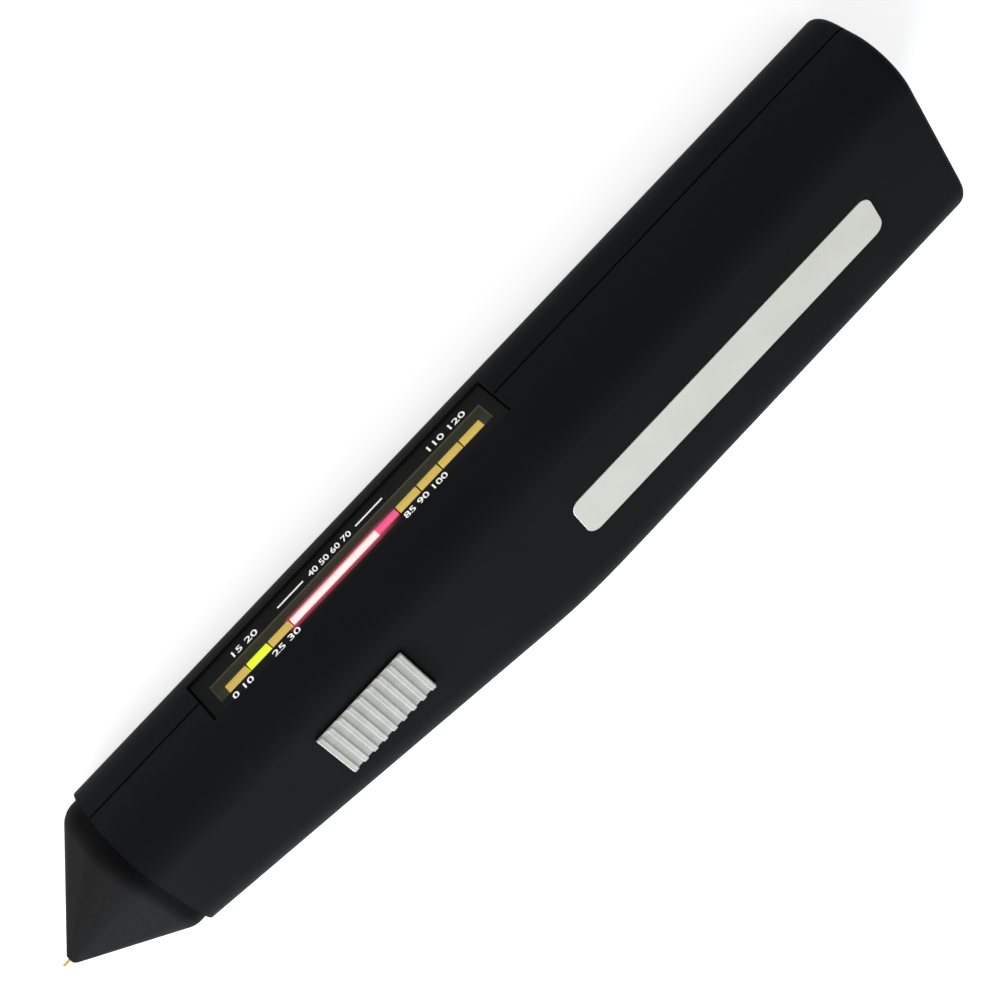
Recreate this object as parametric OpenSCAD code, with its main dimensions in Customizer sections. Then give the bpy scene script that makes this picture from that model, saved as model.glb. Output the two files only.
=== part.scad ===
// Handheld gem tester: two half shells that meet along the display edge, a sprung heated probe
// in a nose cone, a row of twelve lamps behind a smoked window, a thumb slide and a 9 V battery.
// X runs from the probe (-) to the rear end (+), Y from the belly (-) to the display edge (+)
// and Z up from the side that the tester lies on. Sizes are millimetres.

/* [Body] */
// Length of the two half shells, front rim to rear end
body_len = 180.8; // [170:0.2:195]
// Depth of the body from display edge to belly, behind the bend
body_depth = 46; // [45:0.5:50]
// Width of the closed body across both shells
body_width = 25; // [24.5:0.5:28]
// Rounding of the four long edges
corner_r = 10.2; // [9.4:0.1:10.8]
// Wall of the shells
wall = 2; // [1.8:0.1:2.2]
// Depth of the body at its front rim
front_depth = 31.4; // [30:0.1:33]
// Front rim to the corner of the belly line
bend_from_front = 83; // [76:1:92]
// Radius of the bend in the belly line
bend_r = 97; // [60:1:130]
// Width of the groove along the seam
seam_w = 0.45; // [0.3:0.05:0.6]
// Depth of the groove along the seam
seam_d = 0.45; // [0.3:0.05:0.7]
// Rounding of the rim at the rear end
rear_r = 1.8; // [1.4:0.1:2]

/* [Nose] */
// Length of the nose cone ahead of the front rim
nose_len = 21.6; // [19:0.2:26]
// Display edge down to the axis of the probe
probe_drop = 20.2; // [19:0.2:22]
// Step from the rim of the shells in to the nose cone
rim_step = 1; // [0.9:0.1:1.2]
// Depth that the nose cone sits inside the rim
nose_seat = 4; // [3:0.5:5]
// Straight collar of the nose cone ahead of the rim
collar_len = 1.6; // [1:0.1:2]
// Rounding of the shoulder ahead of the collar
shoulder_r = 4.4; // [3:0.2:6]
// How far round the shoulder is drawn, past the steepest flank
shoulder_turn = 44; // [40:1:48]
// Diameter of the blunt end of the nose cone
tip_d = 2.6; // [2:0.1:4]
// Length of the tail of the nose cone inside the shells
tail_len = 14.5; // [13:0.5:18]

/* [Probe] */
// Diameter of the probe pin
pin_d = 0.6; // [0.4:0.05:1]
// Pin shown ahead of the nose cone
pin_out = 1.8; // [1.6:0.1:3]
// Diameter of the heated head that carries the pin
head_d = 3.6; // [3:0.1:4.2]
// Length of the heated head ahead of its flange
head_len = 11; // [9:0.5:12]
// Diameter of the flange that the spring pushes
flange_d = 5; // [4.6:0.1:5.2]
// Thickness of the flange
flange_t = 1.4; // [1:0.1:2]
// Bore for the flange, the spring and the plug
spring_bore = 5.6; // [5.3:0.1:6.2]
// Wire of the probe spring
spring_wire = 0.45; // [0.35:0.05:0.6]
// Working turns of the probe spring
spring_turns = 6; // [5:1:7]
// Length of the spring at rest
spring_len = 8.4; // [7.5:0.1:9]
// Travel of the probe when it is pressed on a stone
probe_travel = 1; // [0.6:0.1:1.4]
// Radial clearance of the probe in its bores
probe_fit = 0.06; // [0.04:0.01:0.1]

/* [Display] */
// Length of the display panel along the top edge
panel_len = 69.3; // [67:0.1:73]
// Width of the display panel
panel_w = 9.2; // [8.4:0.1:9.4]
// Front rim to the near end of the panel
panel_from_front = 26.1; // [24:0.1:30]
// Face of the panel below the display edge
panel_drop = 0.5; // [0.4:0.05:0.7]
// Gap round the panel
panel_gap = 0.35; // [0.25:0.05:0.4]
// Length of the window
window_len = 64.2; // [63:0.1:66]
// Width of the window
window_w = 4.8; // [4.4:0.1:5]
// Window below the face of the panel
window_drop = 0.7; // [0.6:0.05:0.75]
// Thickness of the window
window_t = 1.1; // [1:0.05:1.1]
// Number of lamps in the row
lamp_count = 12; // [10:1:12]
// Pitch of the lamps
lamp_pitch = 5.08; // [5:0.02:5.2]
// Length of one lamp along the row
lamp_len = 4.75; // [4.4:0.05:4.9]
// Width of one lamp
lamp_w = 2; // [1.8:0.1:2.4]
// Height of one lamp
lamp_h = 7; // [6:0.5:7.5]
// Top of the lamps below the face of the panel
lamp_drop = 1.9; // [1.9:0.05:2.2]

/* [Thumb slide] */
// Length of the ribbed cap
slide_len = 20; // [18:0.2:23]
// Width of the ribbed cap across the body
slide_w = 12.2; // [11:0.1:14]
// Front rim to the near end of the cap
slide_from_front = 34.3; // [32:0.1:38]
// Cap's centre line above the middle of the body depth
slide_y = 4.1; // [3:0.1:4.5]
// Number of ribs on the cap
rib_count = 9; // [8:1:10]
// Height of the ribs
rib_h = 0.5; // [0.4:0.05:0.8]
// Thickness of the cap under the ribs
cap_t = 0.3; // [0.25:0.05:0.6]
// Width of the flat crown of a rib
rib_w = 1; // [0.8:0.05:1.2]
// Width of the sloping flank of a rib
rib_flank = 0.2; // [0.15:0.05:0.3]
// Width of the dark line across the shell at the rear end of the cap
mark_w = 0.5; // [0.3:0.05:0.8]
// Depth of that line
mark_d = 0.5; // [0.3:0.05:0.7]
// Length of the stem below the cap
stem_len = 8; // [6:0.5:9]
// Width of the stem below the cap
stem_w = 4; // [3:0.5:5]
// Travel from on to off
slide_travel = 3.5; // [3:0.1:4]
// Gap between the sliding pieces and the shell
slide_gap = 0.2; // [0.15:0.05:0.3]
// Gap under the cap
cap_gap = 0.1; // [0.08:0.01:0.2]

/* [Side plate] */
// Length of the bare plate on the side
plate_len = 73.2; // [70:0.1:78]
// Width of the plate
plate_w = 9; // [8:0.1:10]
// Corner radius of the plate
plate_r = 2.2; // [1.5:0.1:3]
// Thickness of the plate
plate_t = 0.4; // [0.35:0.05:0.6]
// Depth of the pocket that holds the plate
plate_pocket = 0.25; // [0.2:0.05:0.3]
// Rear end to the near end of the plate
plate_from_rear = 16.7; // [14:0.1:18]
// Plate's centre line below the middle of the body depth
plate_down = 1; // [0:0.1:1.5]

/* [Board] */
// Thickness of the circuit board
board_t = 1.6; // [1.4:0.1:1.8]
// Board ahead of the display panel
board_front = 5; // [3:0.5:6]
// Gap between the board and the screw posts behind it
board_rear = 4.6; // [3:0.2:6]
// Edge of the board above the belly wall
board_clear = 3; // [2.5:0.5:4]
// Length of the slide switch on the board
switch_len = 13; // [11:0.5:14]
// Width of the slide switch
switch_w = 6.6; // [5:0.2:7]
// Height of the slide switch
switch_h = 4.2; // [3.6:0.1:4.4]
// Diameter of the buzzer
buzzer_d = 12; // [10:0.5:13]
// Height of the buzzer
buzzer_h = 6.5; // [5:0.5:7.5]

/* [Battery] */
// Length of the battery with its terminals
battery_len = 48.5; // [47.5:0.5:49]
// Width of the battery
battery_w = 26.5; // [25.5:0.1:27]
// Thickness of the battery
battery_t = 17.5; // [16.5:0.1:18]
// Height of the battery terminals
terminal_h = 2.5; // [2:0.1:3]
// Thickness of the snap connector
snap_t = 3.2; // [3:0.1:3.8]
// Half width of the battery door
door_half = 14; // [13.9:0.1:14.3]
// Thickness of the battery door
door_t = 2; // [1.9:0.1:2.1]
// Gap round the battery door
door_gap = 0.25; // [0.2:0.05:0.3]
// Tongue along both sides of the door
tongue_w = 1.1; // [0.8:0.1:1.3]
// Thickness of the tongue
tongue_t = 0.8; // [0.6:0.1:0.9]

/* [Screws] */
// Shank of the shell screws
screw_d = 2.5; // [2.2:0.1:2.6]
// Head of the shell screws
screw_head_d = 4.8; // [4.4:0.1:5]
// Height of the screw heads
screw_head_h = 1.8; // [1.5:0.1:2]
// Depth of the screw heads below the shell
screw_sink = 2.8; // [2.4:0.1:3.2]
// Diameter of the screw posts
post_d = 7; // [6.6:0.1:7.4]
// Diameter of the locating pegs at the rear end
peg_d = 2.8; // [2.4:0.1:3.2]
// Length of the locating pegs
peg_len = 3.6; // [3:0.2:5]
// Shank of the board screws
board_screw_d = 2; // [1.8:0.1:2.2]
// Clearance of a screw in its hole
screw_fit = 0.15; // [0.1:0.05:0.2]

/* [Hidden] */
$fn = 96;

// Colours
black_plastic = "#1d1e20";
nose_plastic = "#2a2a2a";
panel_black = "#1b1b1c";
satin_silver = "#c3c5bd";
brass = "#b08d45";
copper = "#a8693f";
steel = "#b4b6b8";
amber = "#cda54b";
lit_green = "#c8ff14";
lit_red = "#ff2f55";
lit_pink = "#ff6496";
smoked = "#3a3a30";
board_green = "#1f5a36";
chip_black = "#18181a";
trimmer_blue = "#2f5fa8";
battery_grey = "#5b5f66";

// How far a cut reaches past the face that it opens
nick = 1;

// Main stations
total_len = body_len + nose_len + pin_out;
x_rear = total_len/2;
x_front = x_rear - body_len;
x_tip = x_front - nose_len;
y_top = body_depth/2;
y_belly = -body_depth/2;
z_mid = body_width/2;
probe_y = y_top - probe_drop;

// Belly line: straight, a bend, then a rise to the front rim
rise = atan((body_depth - front_depth)/bend_from_front);
bend_run = bend_r*tan(rise/2);
bend_rear_x = x_front + bend_from_front + bend_run;
bend_front_x = bend_rear_x - bend_r*sin(rise);
bend_y = y_belly + bend_r;
// Height at which the upper and the lower part of the body form meet
y_split = (2*y_top - front_depth)/2;
// Step and overlap between the parts of the body form
form_step = 0.02;
form_lap = 0.5;
// Thickness of the slices that rounded ends are drawn from
slice_t = 0.25;
function belly_at(x) = y_top - front_depth - (x - x_front)*tan(rise);

// Fits between pieces that stay put
nose_fit = 0.1;
// The nose's plug narrows by this much towards its inner end.
plug_draft = 0.05;
tail_fit = 0.15;
post_fit = 0.2;
plate_fit = 0.1;
plug_fit = 0.05;
window_fit = 0.1;
snap_fit = 0.2;
lamp_fit = 0.1;

// Display stations
panel_x = x_front + panel_from_front;
panel_mid = panel_x + panel_len/2;
panel_y = y_top - panel_drop;
lamp_top = panel_y - lamp_drop;
lamp_x = panel_mid - lamp_count*lamp_pitch/2;
bezel_flange = 0.7;
bezel_t = 2.2;
bezel_flange_t = 1.2;
bezel_depth = bezel_t + bezel_flange_t;
holder_t = 1.7;
holder_drop = 0.4;

// Slide stations
slide_x = x_front + slide_from_front;
slide_mid = slide_x + slide_len/2;
cap_z = body_width + cap_gap;
keeper_t = 1.5;
keeper_top = body_width - wall - slide_gap;
lever_len = 3;
lever_w = 2.4;
lever_h = 2.6;
fork_gap = 0.15;
fork_t = 1.6;
fork_rise = 0.4;
keeper_lip = 3;
keeper_side = 2.5;
keeper_len = stem_len + 2*keeper_lip;
keeper_w = stem_w + 2*keeper_side;

// Battery stations
battery_gap = 0.5;
battery_x1 = x_rear - wall - battery_gap;
battery_x0 = battery_x1 - battery_len;
battery_z0 = door_t + battery_gap;
snap_x1 = battery_x0 + terminal_h - snap_fit/2;
snap_x0 = snap_x1 - snap_t;
bulkhead_t = 1.6;
bulkhead_h = z_mid - 3;
snap_room = 1.2;
bulkhead_x = snap_x0 - snap_room - bulkhead_t;
door_x0 = bulkhead_x + bulkhead_t + snap_room/2;
tongue_z = door_t - tongue_t;
rail_w = 2;
rail_t = 1.3;
terminal_y = 6.35;
plus_d = 5.8;
minus_d = 7.6;
terminals = [[terminal_y, plus_d], [-terminal_y, minus_d]];

// Screw stations: the front one passes through the tail of the nose cone
front_post_in = 9.8;
front_post_down = 10;
front_post = [x_front + front_post_in, y_top - front_post_down];
post_gap = 1;
mid_post_x = bulkhead_x - post_d/2 - post_gap;
mid_post_y = 11;
screw_bite = 6;
posts = concat([front_post], [for (s = [-1, 1]) [mid_post_x, s*mid_post_y]]);

// Locating pegs beside the battery, near the rear end
peg_wall = 1.3;
peg_clear = 0.4;
peg_post_d = peg_d + 2*peg_wall;
peg_sunk = 0.7;
peg_x = x_rear - wall - peg_post_d/2 + peg_sunk;
peg_y = body_depth/2 - wall - peg_post_d/2 + peg_sunk;
pegs = [for (s = [-1, 1]) [peg_x, s*peg_y]];

// Board stations
board_top_y = lamp_top - lamp_h;
board_x0 = panel_x - board_front;
board_x1 = mid_post_x - post_d/2 - board_rear;
board_z = z_mid + board_t/2;
board_low = y_belly + wall + board_clear;
board_cut = 8;
board_cut_y = -10;
board_post_in = 5;
board_post_from_mid = 6;
board_posts = [
    [board_x0 + board_post_in, board_top_y - board_post_in],
    [panel_mid + board_post_from_mid, board_cut_y],
    [board_x1 - board_post_in, board_top_y - board_post_in]
];
board_post_d = 5;
board_head_d = 3.8;
board_head_h = 1.5;

// Places and sizes of the pieces on the board
chip_from_mid = 4;
chip_y = 3;
chip_len = 19;
chip_w = 6.4;
chip_h = 3.6;
short_chip_from_mid = 22;
short_chip_y = -6;
short_chip_len = 9.5;
flat_chip_in = 1;
flat_chip_y = -3;
flat_chip_len = 6;
flat_chip_w = 5;
flat_chip_h = 1.6;
trimmer_from_mid = 25;
trimmer_y = 5;
buzzer_from_mid = -6;
buzzer_y = -7;

// Side plate stations
plate_x1 = x_rear - plate_from_rear;
plate_x0 = plate_x1 - plate_len;
plate_z = body_width - plate_pocket;

// Probe stations along X
flange_ahead = 1.6;
head_gap = 0.6;
flange_gap = 0.1;
spring_gap = 0.05;
flange_x = x_front - flange_ahead;
head_x = flange_x - head_len;
spring_x = flange_x + flange_t;
plug_x = spring_x + spring_len;
tail_x = x_front + tail_len;

// Extrudes a section along X: its first axis becomes Y and its second Z
module along_x(x0, x1) {
    translate([x0, 0, 0]) rotate([90, 0, 90]) linear_extrude(x1 - x0) children();
}

// A round bar along X at the height of the probe
module probe_bar(x0, x1, d) {
    translate([x0, probe_y, z_mid]) rotate([0, 90, 0]) cylinder(d = d, h = x1 - x0);
}

// A strip of the given length and half width, the corners at its start rounded
module round_strip(len, half, r) {
    translate([r, -half]) square([len - r, 2*half]);
    translate([0, -(half - r)]) square([len, 2*(half - r)]);
    for (s = [-1, 1]) translate([r, s*(half - r)]) circle(r);
}

// Section under the display edge down to the split height, a hair narrower than the lower one
module upper_section(inset) {
    half = body_width/2 - inset - 2*form_step;
    translate([y_top - inset, z_mid]) mirror([1, 0])
        round_strip(y_top - inset - y_split, half, corner_r - inset);
}

// Section above a belly line at the given height
module lower_section(inset, belly) {
    translate([belly + inset, z_mid])
        round_strip(body_depth, body_width/2 - inset, corner_r - inset);
}

// The rounded form of the body between two stations, every face moved in by inset. Its parts
// overlap and differ by a hair, so that no two of their faces lie in one plane.
module body_form(inset, x0, x1) {
    along_x(x0, x1) upper_section(inset);
    intersection() {
        union() {
            if (x1 > bend_front_x) {
                along_x(bend_rear_x - form_lap, x1) lower_section(inset, y_belly);
                translate([bend_rear_x, bend_y, 0]) rotate([0, 0, -90 - rise])
                    rotate_extrude(angle = rise) mirror([1, 0])
                        lower_section(inset + form_step, -bend_r);
            }
            translate([bend_rear_x, bend_y, 0]) rotate([0, 0, -rise])
                along_x(-body_len, form_lap) lower_section(inset, -bend_r);
        }
        translate([x0, y_belly - nick, -nick])
            cube([x1 - x0, y_split - y_belly + nick, body_width + 2*nick]);
    }
}

// One thin slice across the body that ends at a station, moved in from the outside by inset
module rim_slice(x, inset, depth) {
    half = body_width/2 - inset;
    r = corner_r - inset;
    ys = [y_top - inset - r, y_top - depth + inset + r];
    for (y = ys, s = [-1, 1]) translate([x - slice_t, y, z_mid + s*(half - r)]) rotate([0, 90, 0])
        cylinder(r = r, h = slice_t);
}

// Everything inside the rounded rim of the rear end, moved in by inset
module rear_limit(inset) {
    rim_steps = 5;
    rim_over = 0.5;
    translate([x_front - 3*nick, y_belly - nick, -nick])
        cube([body_len - rear_r, body_depth + 2*nick, body_width + 2*nick]);
    hull() {
        rim_slice(x_rear - 3*rear_r, inset - rim_over, body_depth);
        for (i = [1 : rim_steps]) let (a = 90*i/rim_steps, r = rear_r - inset)
            rim_slice(x_rear - rear_r + r*sin(a), rear_r - r*cos(a), body_depth);
    }
}

// The outside of the body from a station to the rear end
module body_outside(x0) {
    intersection() {
        body_form(0, x0, x_rear);
        rear_limit(0);
    }
}

// Turns a piece of the upper half over, into the lower half
module turned_over() {
    translate([0, 0, body_width]) mirror([0, 0, 1]) children();
}

// Hollow of the closed body with the deeper seat of the nose cone at its mouth
module cavity() {
    body_form(wall, x_front - nick, x_rear - wall);
    body_form(rim_step - nose_fit, x_front - nick, x_front + nose_seat);
}

// Upper half of the hollow body; the lower half is its mirror image
module half_shell() {
    difference() {
        intersection() {
            body_outside(x_front);
            translate([x_front - nick, y_belly - nick, z_mid])
                cube([body_len + 2*nick, body_depth + 2*nick, body_width]);
        }
        cavity();
    }
}

// Shallow groove all round the outside where the shells meet
module seam_groove() {
    difference() {
        translate([x_front - nick, y_belly - nick, z_mid - seam_w/2])
            cube([body_len + 2*nick, body_depth + 2*nick, seam_w]);
        intersection() {
            body_form(seam_d, x_front - 2*nick, x_rear - seam_d);
            rear_limit(seam_d);
        }
    }
}

// Opening in the display edge for the panel
module panel_opening() {
    width = panel_w + 2*panel_gap;
    translate([panel_x - panel_gap, panel_y - bezel_depth, z_mid - width/2])
        cube([panel_len + 2*panel_gap, bezel_depth + panel_drop + nick, width]);
}

// Places children at every shell post
module at_posts() {
    for (p = posts) translate([p[0], p[1], 0]) children();
}

// Places children at both locating pegs
module at_pegs() {
    for (p = pegs) translate([p[0], p[1], 0]) children();
}

// Places children at every board post
module at_board_posts() {
    for (p = board_posts) translate([p[0], p[1], 0]) children();
}

// Flat plate outline with round corners, centred
module plate_outline(len, width, r) {
    square([len - 2*r, width], center = true);
    square([len, width - 2*r], center = true);
    for (sx = [-1, 1], sy = [-1, 1]) translate([sx*(len/2 - r), sy*(width/2 - r)]) circle(r);
}

// Upper half shell, with the slide slot, the plate pocket and ribs that hold the battery down
module label_side_shell() color(black_plastic) {
    rib_t = 1.5;
    rib_from_end = 12;
    upper_post_d = post_d - 1;
    battery_top = battery_z0 + battery_t;
    slot_len = stem_len + slide_travel + 2*slide_gap;
    slot_w = stem_w + 2*slide_gap;
    difference() {
        union() {
            half_shell();
            intersection() {
                union() {
                    at_posts() translate([0, 0, z_mid]) cylinder(d = upper_post_d, h = body_width/2);
                    at_pegs() translate([0, 0, z_mid]) cylinder(d = peg_post_d, h = body_width/2);
                    for (x = [battery_x0 + rib_from_end, battery_x1 - rib_from_end])
                        translate([x, -battery_w/2, battery_top])
                            cube([rib_t, battery_w, body_width/2]);
                }
                body_form(wall/2, x_front, x_rear - wall/2);
            }
            at_pegs() translate([0, 0, z_mid - peg_len]) cylinder(d = peg_d, h = peg_len + nick);
        }
        seam_groove();
        panel_opening();
        at_posts() translate([0, 0, z_mid - nick])
            cylinder(d = screw_d + 2*screw_fit, h = screw_bite + 2*nick);
        translate([slide_mid - stem_len/2 - slide_gap, slide_y - slot_w/2, body_width - 2*wall])
            cube([slot_len, slot_w, 3*wall]);
        translate([slide_x + slide_len, slide_y - slide_w/2, body_width - mark_d])
            cube([mark_w, slide_w, mark_d + nick]);
        translate([plate_x0 + plate_len/2, -plate_down, plate_z])
            linear_extrude(plate_pocket + nick)
                plate_outline(plate_len + 2*plate_fit, plate_w + 2*plate_fit, plate_r + plate_fit);
    }
}

// Lower half shell, with the screw posts, the board posts, the bulkhead and the door rails
module back_side_shell() color(black_plastic) {
    groove_half = door_half + door_gap + tongue_w + door_gap;
    rail_half = groove_half + rail_w;
    open_half = door_half + door_gap;
    groove_z = tongue_z - door_gap;
    groove_t = tongue_t + 2*door_gap;
    difference() {
        union() {
            turned_over() half_shell();
            intersection() {
                union() {
                    at_posts() cylinder(d = post_d, h = z_mid);
                    at_pegs() cylinder(d = peg_post_d, h = z_mid);
                    at_board_posts() cylinder(d = board_post_d, h = z_mid - board_t/2);
                    translate([bulkhead_x, y_belly, 0]) cube([bulkhead_t, body_depth, bulkhead_h]);
                    for (s = [0, 1]) mirror([0, s, 0]) translate([door_x0 - door_gap, open_half, 0])
                        cube([x_rear - door_x0, rail_half - open_half, groove_z + groove_t + rail_t]);
                }
                body_form(wall/2, x_front, x_rear - wall/2);
            }
        }
        seam_groove();
        panel_opening();
        at_posts() {
            translate([0, 0, -nick]) cylinder(d = screw_d + 2*screw_fit, h = z_mid + 2*nick);
            translate([0, 0, -nick]) cylinder(d = screw_head_d + 2*screw_fit, h = screw_sink + nick);
        }
        at_pegs() translate([0, 0, z_mid - peg_len - peg_clear])
            cylinder(d = peg_d + 2*screw_fit, h = peg_len + nick);
        at_board_posts() translate([0, 0, wall])
            cylinder(d = board_screw_d + 2*screw_fit, h = z_mid);
        translate([door_x0 - door_gap, -open_half, -nick])
            cube([body_len, 2*open_half, nick + door_t + door_gap]);
        translate([door_x0 - door_gap, -groove_half, groove_z])
            cube([body_len, 2*groove_half, groove_t]);
    }
}

// Battery door: a slice of the shell with a tongue on both sides and grip grooves
module battery_door() color(black_plastic) {
    grip_count = 7;
    grip_pitch = 1.8;
    grip_w = 0.9;
    grip_d = 0.5;
    grip_from_end = 5;
    difference() {
        union() {
            intersection() {
                body_outside(door_x0);
                translate([door_x0, -door_half, -nick]) cube([body_len, 2*door_half, nick + door_t]);
            }
            translate([door_x0, -door_half - tongue_w, tongue_z])
                cube([x_rear - rear_r/2 - door_x0, 2*(door_half + tongue_w), tongue_t]);
        }
        for (i = [0 : grip_count - 1])
            translate([door_x0 + grip_from_end + i*grip_pitch, -door_half/2, -nick])
                cube([grip_w, door_half, nick + grip_d]);
    }
}

// Nose cone: a collar in the mouth of the shells, a rounded shoulder, straight flanks to the blunt
// tip, and a tail clamped by the front post
module nose_cone() color(nose_plastic) {
    shoulder_steps = 6;
    tip_round = 0.4;
    difference() {
        union() {
            hull() {
                rim_slice(x_front + nose_seat - nose_fit, rim_step + plug_draft, front_depth, $fn = 48);
                for (i = [0 : shoulder_steps]) let (a = i/shoulder_steps*shoulder_turn)
                    rim_slice(x_front - collar_len - shoulder_r*sin(a) + slice_t,
                              rim_step + shoulder_r*(1 - cos(a)), front_depth, $fn = 48);
                probe_bar(x_tip + tip_round, x_tip + 2*tip_round, tip_d, $fn = 32);
                probe_bar(x_tip, x_tip + tip_round, tip_d - 2*tip_round, $fn = 32);
            }
            body_form(wall + tail_fit, x_front, tail_x);
        }
        probe_bar(x_tip - nick, x_front, pin_d + 2*probe_fit);
        probe_bar(head_x - head_gap, x_front, head_d + 2*probe_fit);
        probe_bar(flange_x - flange_gap, tail_x + nick, spring_bore);
        translate([front_post[0], front_post[1], -nick])
            cylinder(d = post_d + 2*post_fit, h = body_width + 2*nick);
    }
}

// Gold-coloured pin that touches the stone
module probe_pin() color(brass) {
    point_len = 0.4;
    probe_bar(x_tip - pin_out + point_len, head_x, pin_d);
    translate([x_tip - pin_out, probe_y, z_mid]) rotate([0, 90, 0])
        cylinder(d1 = pin_d/2, d2 = pin_d, h = point_len);
}

// Heated head behind the pin, with the flange that the spring pushes
module probe_head() color(copper) {
    probe_bar(head_x, flange_x, head_d);
    probe_bar(flange_x, flange_x + flange_t, flange_d);
}

// Points of one ring of the spring wire, at turn t
function spring_ring(t, sides) =
    let (r = (flange_d - spring_wire)/2 - flange_gap,
         start = spring_x + spring_gap + spring_wire/2,
         run = spring_len - 2*spring_gap - spring_wire,
         x = start + run*t/spring_turns,
         a = 360*t)
    [for (k = [0 : sides - 1]) let (b = 360*k/sides)
        [x + spring_wire/2*sin(b), probe_y + (r + spring_wire/2*cos(b))*cos(a),
         z_mid + (r + spring_wire/2*cos(b))*sin(a)]];

// Compression spring wound as one unbroken wire
module probe_spring() color(steel) {
    sides = 6;
    rings_per_turn = 16;
    rings = spring_turns*rings_per_turn;
    points = [for (i = [0 : rings]) each spring_ring(i/rings_per_turn, sides)];
    walls = [for (i = [0 : rings - 1], k = [0 : sides - 1])
        let (a = i*sides + k, b = i*sides + (k + 1)%sides)
            each [[a, b, b + sides], [a, b + sides, a + sides]]];
    start = [for (k = [1 : sides - 2]) [0, k + 1, k]];
    end = [for (k = [1 : sides - 2]) [rings*sides, rings*sides + k, rings*sides + k + 1]];
    polyhedron(points, concat(walls, start, end));
}

// Plug that closes the spring bore, with a stub that stops the head and a hole for the leads
module probe_plug() color(nose_plastic) {
    lead_hole = 1.6;
    stub_d = 3;
    stop_gap = 0.2;
    stub_x = spring_x + probe_travel + stop_gap;
    difference() {
        union() {
            probe_bar(plug_x, tail_x, spring_bore - 2*plug_fit);
            probe_bar(stub_x, plug_x + nick, stub_d);
        }
        probe_bar(stub_x - nick, tail_x + nick, lead_hole);
    }
}

// Panel round the window, with a flange that stops behind the shells
module display_bezel() color(panel_black) {
    width = panel_w + 2*bezel_flange;
    difference() {
        union() {
            translate([panel_x, panel_y - bezel_t, z_mid - panel_w/2])
                cube([panel_len, bezel_t, panel_w]);
            translate([panel_x - bezel_flange, panel_y - bezel_depth, z_mid - width/2])
                cube([panel_len + 2*bezel_flange, bezel_flange_t, width]);
        }
        translate([panel_mid - window_len/2, panel_y - bezel_depth - nick, z_mid - window_w/2])
            cube([window_len, bezel_depth + 2*nick, window_w]);
    }
}

// Smoked window strip
module display_window() color(smoked, 0.6) {
    translate([panel_mid - window_len/2 + window_fit, panel_y - window_drop - window_t,
               z_mid - window_w/2 + window_fit])
        cube([window_len - 2*window_fit, window_t, window_w - 2*window_fit]);
}

// A run of lamps standing on the edge of the board, counted from the probe end
module lamps(first, last) {
    for (i = [first : last])
        translate([lamp_x + (i - 0.5)*lamp_pitch - lamp_len/2, lamp_top - lamp_h, z_mid - lamp_w/2])
            cube([lamp_len, lamp_h, lamp_w]);
}

module lamp_low_battery() color(amber) lamps(1, 1);
module lamp_ready() color(lit_green) lamps(2, 2);
module lamp_metal() color(amber) lamps(3, 3);
module lamps_bar_lit() color(lit_red) lamps(4, 7);
module lamp_bar_edge() color(lit_pink) lamps(8, 8);
module lamps_bar_unlit() color(amber) lamps(9, lamp_count);

// Holder strip round the row of lamps, under the window
module lamp_holder() color(panel_black) {
    len = window_len - 2*window_fit;
    width = window_w - 2*window_fit;
    slot_w = lamp_w + 2*lamp_fit;
    translate([panel_mid, lamp_top - holder_drop - holder_t, z_mid]) difference() {
        translate([-len/2, 0, -width/2]) cube([len, holder_t, width]);
        translate([lamp_x - panel_mid, -nick, -slot_w/2])
            cube([lamp_count*lamp_pitch, holder_t + 2*nick, slot_w]);
    }
}

// Circuit board in the plane of the seam, its lower edge along the belly
module main_board() color(board_green) {
    front_low = belly_at(board_x0) + wall + board_clear;
    bend_low = belly_at(bend_front_x) + wall + board_clear;
    difference() {
        translate([0, 0, z_mid - board_t/2]) linear_extrude(board_t)
            polygon([[board_x0, board_top_y], [board_x1, board_top_y], [board_x1, board_cut_y],
                     [board_x1 - board_cut, board_low], [bend_rear_x, board_low],
                     [bend_front_x, bend_low], [board_x0, front_low]]);
        at_board_posts() translate([0, 0, z_mid - board_t])
            cylinder(d = board_screw_d + 2*screw_fit, h = 2*board_t);
    }
}

// One chip of the given size on the upper face of the board
module chip(x, y, size) {
    translate([x - size[0]/2, y - size[1]/2, board_z]) cube(size);
}

// Amplifier and logic chips
module board_chips() color(chip_black) {
    chip(panel_mid + chip_from_mid, chip_y, [chip_len, chip_w, chip_h]);
    chip(panel_mid + short_chip_from_mid, short_chip_y, [short_chip_len, chip_w, chip_h]);
    chip(panel_x + flat_chip_in, flat_chip_y, [flat_chip_len, flat_chip_w, flat_chip_h]);
}

// Trimmer that sets the zero of the bridge
module trimmer() color(trimmer_blue) {
    side = 6.6;
    height = 5;
    dial_d = 4;
    dial_h = 0.6;
    slot_w = 0.8;
    translate([panel_mid + trimmer_from_mid, trimmer_y, board_z]) difference() {
        union() {
            translate([-side/2, -side/2, 0]) cube([side, side, height]);
            translate([0, 0, height]) cylinder(d = dial_d, h = dial_h);
        }
        translate([-dial_d, -slot_w/2, height + dial_h/3]) cube([2*dial_d, slot_w, dial_h]);
    }
}

// Sounder on the upper face of the board
module buzzer() color(chip_black) {
    hole_d = 2;
    hole_depth = 1;
    translate([panel_mid + buzzer_from_mid, buzzer_y, board_z]) difference() {
        cylinder(d = buzzer_d, h = buzzer_h);
        translate([0, 0, buzzer_h - hole_depth]) cylinder(d = hole_d, h = hole_depth + nick);
    }
}

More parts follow.
